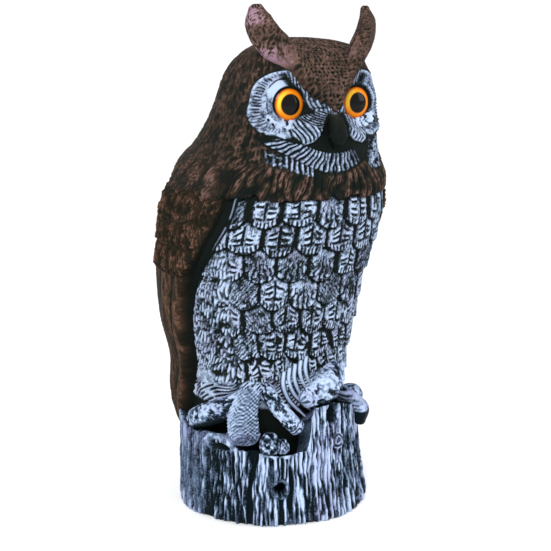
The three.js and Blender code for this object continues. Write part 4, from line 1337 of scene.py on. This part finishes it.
def lock_tree():
    tree, start = add_group("GeometryNodeTree", "hanging locks", [
        ("Guide", "Geometry"), ("Start", "Vector"), ("Step", "Vector"), ("Count", "Int"),
        ("Thickness", "Float"), ("Facing", "Vector"), ("Seed", "Int"), ("Material", "Material")])

    def node(kind, values, result, **settings):
        return add_node(tree, kind, values, **settings)[result]

    # one lock along the guide, thinner towards its tip
    line = node("GeometryNodeMeshToCurve", {"Mesh": start["Guide"]}, "Curve")
    factor = node("GeometryNodeSplineParameter", {}, "Factor")
    thin = node("ShaderNodeMath", {0: factor, 1: 3.0}, 0, operation="POWER")
    taper = node("ShaderNodeMath", {0: thin, 1: -0.6, 2: 1.0}, 0, operation="MULTIPLY_ADD")
    radius = node("ShaderNodeMath", {0: taper, 1: start["Thickness"]}, 0, operation="MULTIPLY")
    line = node("GeometryNodeSetCurveRadius", {"Curve": line, "Radius": radius}, "Curve")

    # a row of them, each of its own size, drawn from the sockets for single numbers
    places = node("GeometryNodeMeshLine", {"Count": start["Count"], "Start Location": start["Start"],
                                           "Offset": start["Step"]}, "Mesh")
    size = node("FunctionNodeRandomValue", {2: 0.92, 3: 1.06, "Seed": start["Seed"]}, 1, data_type="FLOAT")
    locks = node("GeometryNodeInstanceOnPoints", {"Points": places, "Instance": line, "Scale": size},
                 "Instances")
    locks = node("GeometryNodeRealizeInstances", {"Geometry": locks}, "Geometry")
    profile = node("GeometryNodeCurvePrimitiveCircle", {"Resolution": 14, "Radius": 1.0}, "Curve")
    mesh = node("GeometryNodeCurveToMesh", {
        "Curve": locks, "Profile Curve": profile, "Fill Caps": True,
        "Scale": node("GeometryNodeInputRadius", {}, "Radius")}, "Mesh")
    mesh = node("GeometryNodeSetShadeSmooth", {"Geometry": mesh}, "Geometry")

    # pale paint on what faces the brush
    normal = node("GeometryNodeInputNormal", {}, "Normal")
    proud = node("ShaderNodeVectorMath", {0: normal, 1: start["Facing"]}, "Value", operation="DOT_PRODUCT")
    pale = node("ShaderNodeMapRange", {"Value": proud, "From Min": 0.35, "From Max": 0.95, "To Max": 0.9},
                "Result")
    mesh = node("GeometryNodeStoreNamedAttribute", {"Geometry": mesh, "Name": "pale", "Value": pale},
                "Geometry", data_type="FLOAT", domain="POINT")
    mesh = node("GeometryNodeSetMaterial", {"Geometry": mesh, "Material": start["Material"]}, "Geometry")
    return give_out(tree, "Geometry", "Geometry",
                    node("GeometryNodeRealizeInstances", {"Geometry": mesh}, "Geometry"))


def hang_locks(material):
    path = smooth_line(LOCK_GUIDE, np.linspace(0, 1, 28)) * MM
    mesh = bpy.data.meshes.new("lock guide")
    mesh.from_pydata((path - path[0]).tolist(), [(k, k + 1) for k in range(len(path) - 1)], [])
    piece = add_object("locks", mesh)
    modifier = piece.modifiers.new("locks", "NODES")
    modifier.node_group = lock_tree()
    values = {"Start": tuple(path[0]), "Material": material, **LOCK_VALUES}
    for item in modifier.node_group.interface.items_tree:
        if item.in_out == "INPUT" and item.name in values:
            modifier[item.identifier] = values[item.name]
    made = piece.evaluated_get(bpy.context.evaluated_depsgraph_get())
    piece.data = bpy.data.meshes.new_from_object(made)
    piece.modifiers.clear()
    print("locks have", len(piece.data.polygons), "faces")
    return piece


# %% [markdown]
# ## Eyes
#
# Each eye is a turned disc with a flat back and a domed front, dropped into its socket. Its colours
# follow one number, the distance from its own axis, which goes into the mesh as an attribute.

# %% Eyes
EYE_DOME = 4.2
EYE_THICKNESS = 8.0


def eye_piece(name, side):
    centre, look = eye_axis(side)
    across = np.array([-look[1], look[0], 0.0])
    sphere = (EYE_RADIUS**2 + EYE_DOME**2) / (2 * EYE_DOME)
    out = np.concatenate([[1.0], np.cos(np.linspace(0, np.pi / 2, 30))[:-1]]) * EYE_RADIUS
    deep = np.sqrt(sphere**2 - out**2) - sphere + EYE_DOME
    deep[0] = EYE_DOME - EYE_THICKNESS
    turn = np.linspace(0, 2 * np.pi, 72, endpoint=False)
    points = (centre + look * deep[:, None, None] + out[:, None, None]
              * (across * np.cos(turn)[:, None] + np.array([0, 0, 1.0]) * np.sin(turn)[:, None]))
    skin = new_skin(points.shape[:2])
    piece = carved_mesh(name, [(points, skin, centre + look * deep[0], centre + look * EYE_DOME)])
    mesh = piece.data
    place = np.empty(3 * len(mesh.vertices))
    mesh.vertices.foreach_get("co", place)
    offset = place.reshape(-1, 3) / MM - centre
    store(mesh, "out", np.linalg.norm(np.cross(offset, look), axis=1) / EYE_RADIUS)
    store(mesh, "right", offset @ across / EYE_RADIUS)
    store(mesh, "up", offset[:, 2] / EYE_RADIUS)
    return piece


eyes = {"eye_right": eye_piece("eye_right_glossy", -1), "eye_left": eye_piece("eye_left_glossy", 1)}

# %% [markdown]
# ## Paint
#
# The dry brush touches only what stands proud, and it breaks up into specks where the paint runs out.
# That is one shader group: it takes the mask from the mesh, roughens it with fine noise and sharpens
# it. The airbrush is another: a soft cloud that thins out unevenly. Both are placed in each material
# with their own values. Scales are in noise cells per metre.

# %% Colours and shader helpers
CLOUD_SCALE, FLECK_SCALE, TINT_SCALE, GRAIN_SCALE, IRIS_SCALE = 70.0, 420.0, 45.0, 1400.0, 260.0


def srgb(red, green, blue):
    """The linear colour of a screen colour, each part from 0 to 255."""
    def linear(v):
        v /= 255.0
        return v / 12.92 if v <= 0.04045 else ((v + 0.055) / 1.055) ** 2.4
    return (linear(red), linear(green), linear(blue), 1.0)


def new_material(name):
    material = bpy.data.materials.new(name)
    material.use_nodes = True
    return material, material.node_tree, material.node_tree.nodes["Principled BSDF"].inputs


def measured(tree, name):
    """The number of that name in the mesh."""
    return add_node(tree, "ShaderNodeAttribute", {}, attribute_name=name)["Fac"]


def math(tree, operation, *values):
    return add_node(tree, "ShaderNodeMath", dict(enumerate(values)), operation=operation)[0]


def cloud(tree, where, scale, detail=3.0):
    return add_node(tree, "ShaderNodeTexNoise", {"Vector": where, "Scale": scale, "Detail": detail})["Fac"]


def ramp(tree, value, low, high):
    """0 up to low and 1 from high on, or the other way round where high is the lower one."""
    return add_node(tree, "ShaderNodeMapRange", {0: value, 1: low, 2: high},
                    interpolation_type="SMOOTHSTEP")[0]


def blend(tree, factor, first, second):
    """A colour that goes from the first to the second. The node has a set of sockets for each kind of
    value, all with the same names, so those for colours are picked by number."""
    return add_node(tree, "ShaderNodeMix", {0: factor, 6: first, 7: second}, data_type="RGBA")[2]


# %% Dry brush and airbrush groups
def dry_brush_group():
    tree, start = add_group("ShaderNodeTree", "dry brush", [
        ("Vector", "Vector"), ("Mask", "Float"), ("Speck Scale", "Float", 900.0), ("Break Up", "Float", 0.5)])
    speck = math(tree, "SUBTRACT", cloud(tree, start["Vector"], start["Speck Scale"]), 0.5)
    caught = math(tree, "MULTIPLY_ADD", speck, start["Break Up"], start["Mask"])
    return give_out(tree, "Mask", "Float", ramp(tree, caught, 0.12, 0.8))


def airbrush_group():
    tree, start = add_group("ShaderNodeTree", "airbrush", [
        ("Vector", "Vector"), ("Mask", "Float"), ("Cloud Scale", "Float", CLOUD_SCALE),
        ("Thin Spots", "Float", 0.5)])
    spots = ramp(tree, cloud(tree, start["Vector"], start["Cloud Scale"], 4.0), 0.62, 0.35)
    share = math(tree, "SUBTRACT", 1.0, math(tree, "MULTIPLY", spots, start["Thin Spots"]))
    return give_out(tree, "Mask", "Float", math(tree, "MULTIPLY", start["Mask"], share))


DRY_BRUSH = dry_brush_group()
AIRBRUSH = airbrush_group()
for made in (DRY_BRUSH, AIRBRUSH):
    print(made.name, "has", len(made.nodes), "nodes")

# %% [markdown]
# ## The shell's finish
#
# Under the paint lies nearly black green plastic with a slight satin. Brown goes on first, then the
# pale dry brush. Painted places are duller than bare ones, and a faint grain keeps the highlights
# from looking like glass. The wings have browner paint, the stump bluer.

# %% Painted shell material
def painted_plastic(name, bare, browns, pales, speck_scale, break_up):
    material, tree, shader = new_material(name)
    where = add_node(tree, "ShaderNodeTexCoord", {})["Object"]
    brown, pale = measured(tree, "brown"), measured(tree, "pale")
    spray = add_node(tree, "ShaderNodeGroup", {"Vector": where, "Mask": brown, "Cloud Scale": CLOUD_SCALE,
                                               "Thin Spots": 0.45}, node_tree=AIRBRUSH)["Mask"]
    brush = add_node(tree, "ShaderNodeGroup", {"Vector": where, "Mask": pale, "Speck Scale": speck_scale,
                                               "Break Up": break_up}, node_tree=DRY_BRUSH)["Mask"]

    # three browns by how much was sprayed, the pink third one also the colour of the painted highlights on
    # the brows, two blues by how much was brushed, some of them violet
    fleck = math(tree, "SUBTRACT", cloud(tree, where, FLECK_SCALE), 0.5)
    lit = math(tree, "MULTIPLY_ADD", fleck, 0.9, brown)
    browned = blend(tree, ramp(tree, lit, 0.6, 1.2), browns[0], browns[1])
    browned = blend(tree, ramp(tree, lit, 1.1, 1.8), browned, browns[2])
    brushed = blend(tree, ramp(tree, pale, 0.45, 1.0), pales[0], pales[1])
    tint = math(tree, "MULTIPLY", ramp(tree, cloud(tree, where, TINT_SCALE, 4.0), 0.45, 0.7), 0.45)
    brushed = blend(tree, tint, brushed, pales[2])
    colour = blend(tree, brush, blend(tree, spray, bare, browned), brushed)

    # duller where painted, and a fine grain
    painted = math(tree, "MAXIMUM", brush, math(tree, "MULTIPLY", spray, 0.6))
    dull = add_node(tree, "ShaderNodeMapRange", {"Value": painted, "To Min": 0.45, "To Max": 0.75})["Result"]
    grain = add_node(tree, "ShaderNodeBump", {"Strength": 0.25, "Distance": 0.0004,
                                              "Height": cloud(tree, where, GRAIN_SCALE, 2.0)})["Normal"]
    feed(tree, shader, {"Base Color": colour, "Roughness": dull, "Specular IOR Level": 0.02, "Normal": grain})
    print(name, "has", len(tree.nodes), "nodes")
    return material


BROWNS = (srgb(65, 51, 40), srgb(100, 77, 70), srgb(146, 116, 132))
WING_BROWNS = (srgb(67, 50, 38), srgb(103, 74, 60), srgb(138, 110, 124))
BLUES = (srgb(124, 140, 164), srgb(180, 197, 220), srgb(146, 146, 178))
BARK_BLUES = (srgb(106, 126, 154), srgb(184, 201, 228), srgb(138, 136, 178))
owl_paint = painted_plastic("owl paint", srgb(16, 22, 20), BROWNS, BLUES, 900.0, 0.8)
wing_paint = painted_plastic("wing paint", srgb(20, 23, 17), WING_BROWNS, BLUES, 900.0, 0.8)
stump_paint = painted_plastic("stump paint", srgb(11, 21, 25), BROWNS, BARK_BLUES, 700.0, 0.9)

# %% [markdown]
# ## The eye's finish
#
# The iris is painted on the back of clear plastic, so it looks deep and wet: amber with a painted yellow
# highlight on its upper left, a dark pupil and a dark line where the eye meets the lids.

# %% Eye material
AMBER, IRIS_HIGHLIGHT = srgb(216, 124, 20), srgb(240, 196, 52)

# Rings by the share of the eye's radius at which each starts and is full: rim, pupil and lid line
EYE_RINGS = ((0.8, 0.92, srgb(196, 92, 12)), (0.68, 0.61, srgb(16, 14, 14)), (0.93, 0.98, srgb(30, 20, 14)))


def eye_material():
    material, tree, shader = new_material("glossy eye")
    out = measured(tree, "out")
    where = add_node(tree, "ShaderNodeTexCoord", {})["Object"]
    # the yellow is a painted highlight, strongest up and to the left, on the side of the main light
    glow = math(tree, "SUBTRACT", math(tree, "MULTIPLY", measured(tree, "up"), 0.5), measured(tree, "right"))
    glow = math(tree, "MULTIPLY_ADD", cloud(tree, where, IRIS_SCALE), 0.3, glow)
    iris = blend(tree, ramp(tree, glow, 0.35, 1.15), AMBER, IRIS_HIGHLIGHT)
    for low, high, colour in EYE_RINGS:
        iris = blend(tree, ramp(tree, out, low, high), iris, colour)
    feed(tree, shader, {"Base Color": iris, "Roughness": 0.22, "Specular IOR Level": 0.0,
                        "Coat Weight": 0.22, "Coat Roughness": 0.06})
    return material


eye_gloss = eye_material()

# %% Give every piece its paint and its place in the frame
for piece in (head, breast):
    piece.data.materials.append(owl_paint)
mantle.data.materials.append(wing_paint)
for piece in (stump, feet):
    piece.data.materials.append(stump_paint)
locks = hang_locks(stump_paint)
shell = (head, breast, mantle, stump, feet, locks)
for piece in shell:
    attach(piece, "root")
    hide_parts("owl_body")
for node, piece in eyes.items():
    piece.data.materials.append(eye_gloss)
    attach(piece, "root")
    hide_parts(node)
print(len(shell) + len(eyes), "pieces ride on the root")

# %% [markdown]
# ## Floor and light
#
# A white sweep and big soft lights, as in a product photograph: the main one high in front on the
# left, a weaker one on the right, and a bright sky all round.

# %% Floor
FLOOR_SIDE, FLOOR_NEAR, FLOOR_FAR, FLOOR_BEND, FLOOR_TOP = 9.0, -6.0, 2.0, 3.0, 12.0

bend = np.radians(np.linspace(-90, 0, 13))
profile = [(FLOOR_NEAR, 0.0)]
profile += [(FLOOR_FAR + FLOOR_BEND * np.cos(a), FLOOR_BEND + FLOOR_BEND * np.sin(a)) for a in bend]
profile += [(FLOOR_FAR + FLOOR_BEND, FLOOR_TOP)]
away = Vector((-CAMERA_PLACE.x, -CAMERA_PLACE.y, 0)).normalized()
beside = away.cross(Vector((0, 0, 1)))
corners = [tuple(away * far + beside * side + Vector((0, 0, z)))
           for far, z in profile for side in (-FLOOR_SIDE, FLOOR_SIDE)]
strips = [(2 * k, 2 * k + 1, 2 * k + 3, 2 * k + 2) for k in range(len(profile) - 1)]
floor_mesh = bpy.data.meshes.new("floor")
floor_mesh.from_pydata(corners, [], strips)
floor_mesh.shade_smooth()
floor = add_object("floor", floor_mesh)
floor_material, floor_tree, floor_shader = new_material("pale floor")
feed(floor_tree, floor_shader, {"Base Color": srgb(246, 246, 246), "Emission Color": srgb(255, 255, 255),
                                "Emission Strength": 0.1, "Roughness": 0.9})
floor_mesh.materials.append(floor_material)
floor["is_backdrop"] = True
print("the floor has", len(strips), "strips")


# %% Lights
def soft_light(name, place, size, watts):
    lamp = bpy.data.lights.new(name, "AREA")
    lamp.size, lamp.energy = size, watts
    light = add_object(name, lamp)
    light.location = place
    light.rotation_euler = (AIM - Vector(place)).to_track_quat("-Z", "Y").to_euler()


soft_light("main light", (-1.3, -1.5, 1.6), size=1.0, watts=38)
soft_light("side light", (1.6, -1.0, 0.9), size=1.0, watts=12)
world = bpy.data.worlds.new("studio")
world.use_nodes = True
sky = world.node_tree.nodes["Background"].inputs
feed(world.node_tree, sky, {"Color": (0.95, 0.97, 1.0, 1.0), "Strength": 0.95})
bpy.context.scene.world = world
bpy.context.scene.view_settings.view_transform = "Standard"

# %% Compare the boxes and finish
new_low, new_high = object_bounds()
beyond = (*(cad_low - new_low), *(new_high - cad_high))
print("beyond the solids by", [round(1000 * v, 2) for v in beyond], "mm")
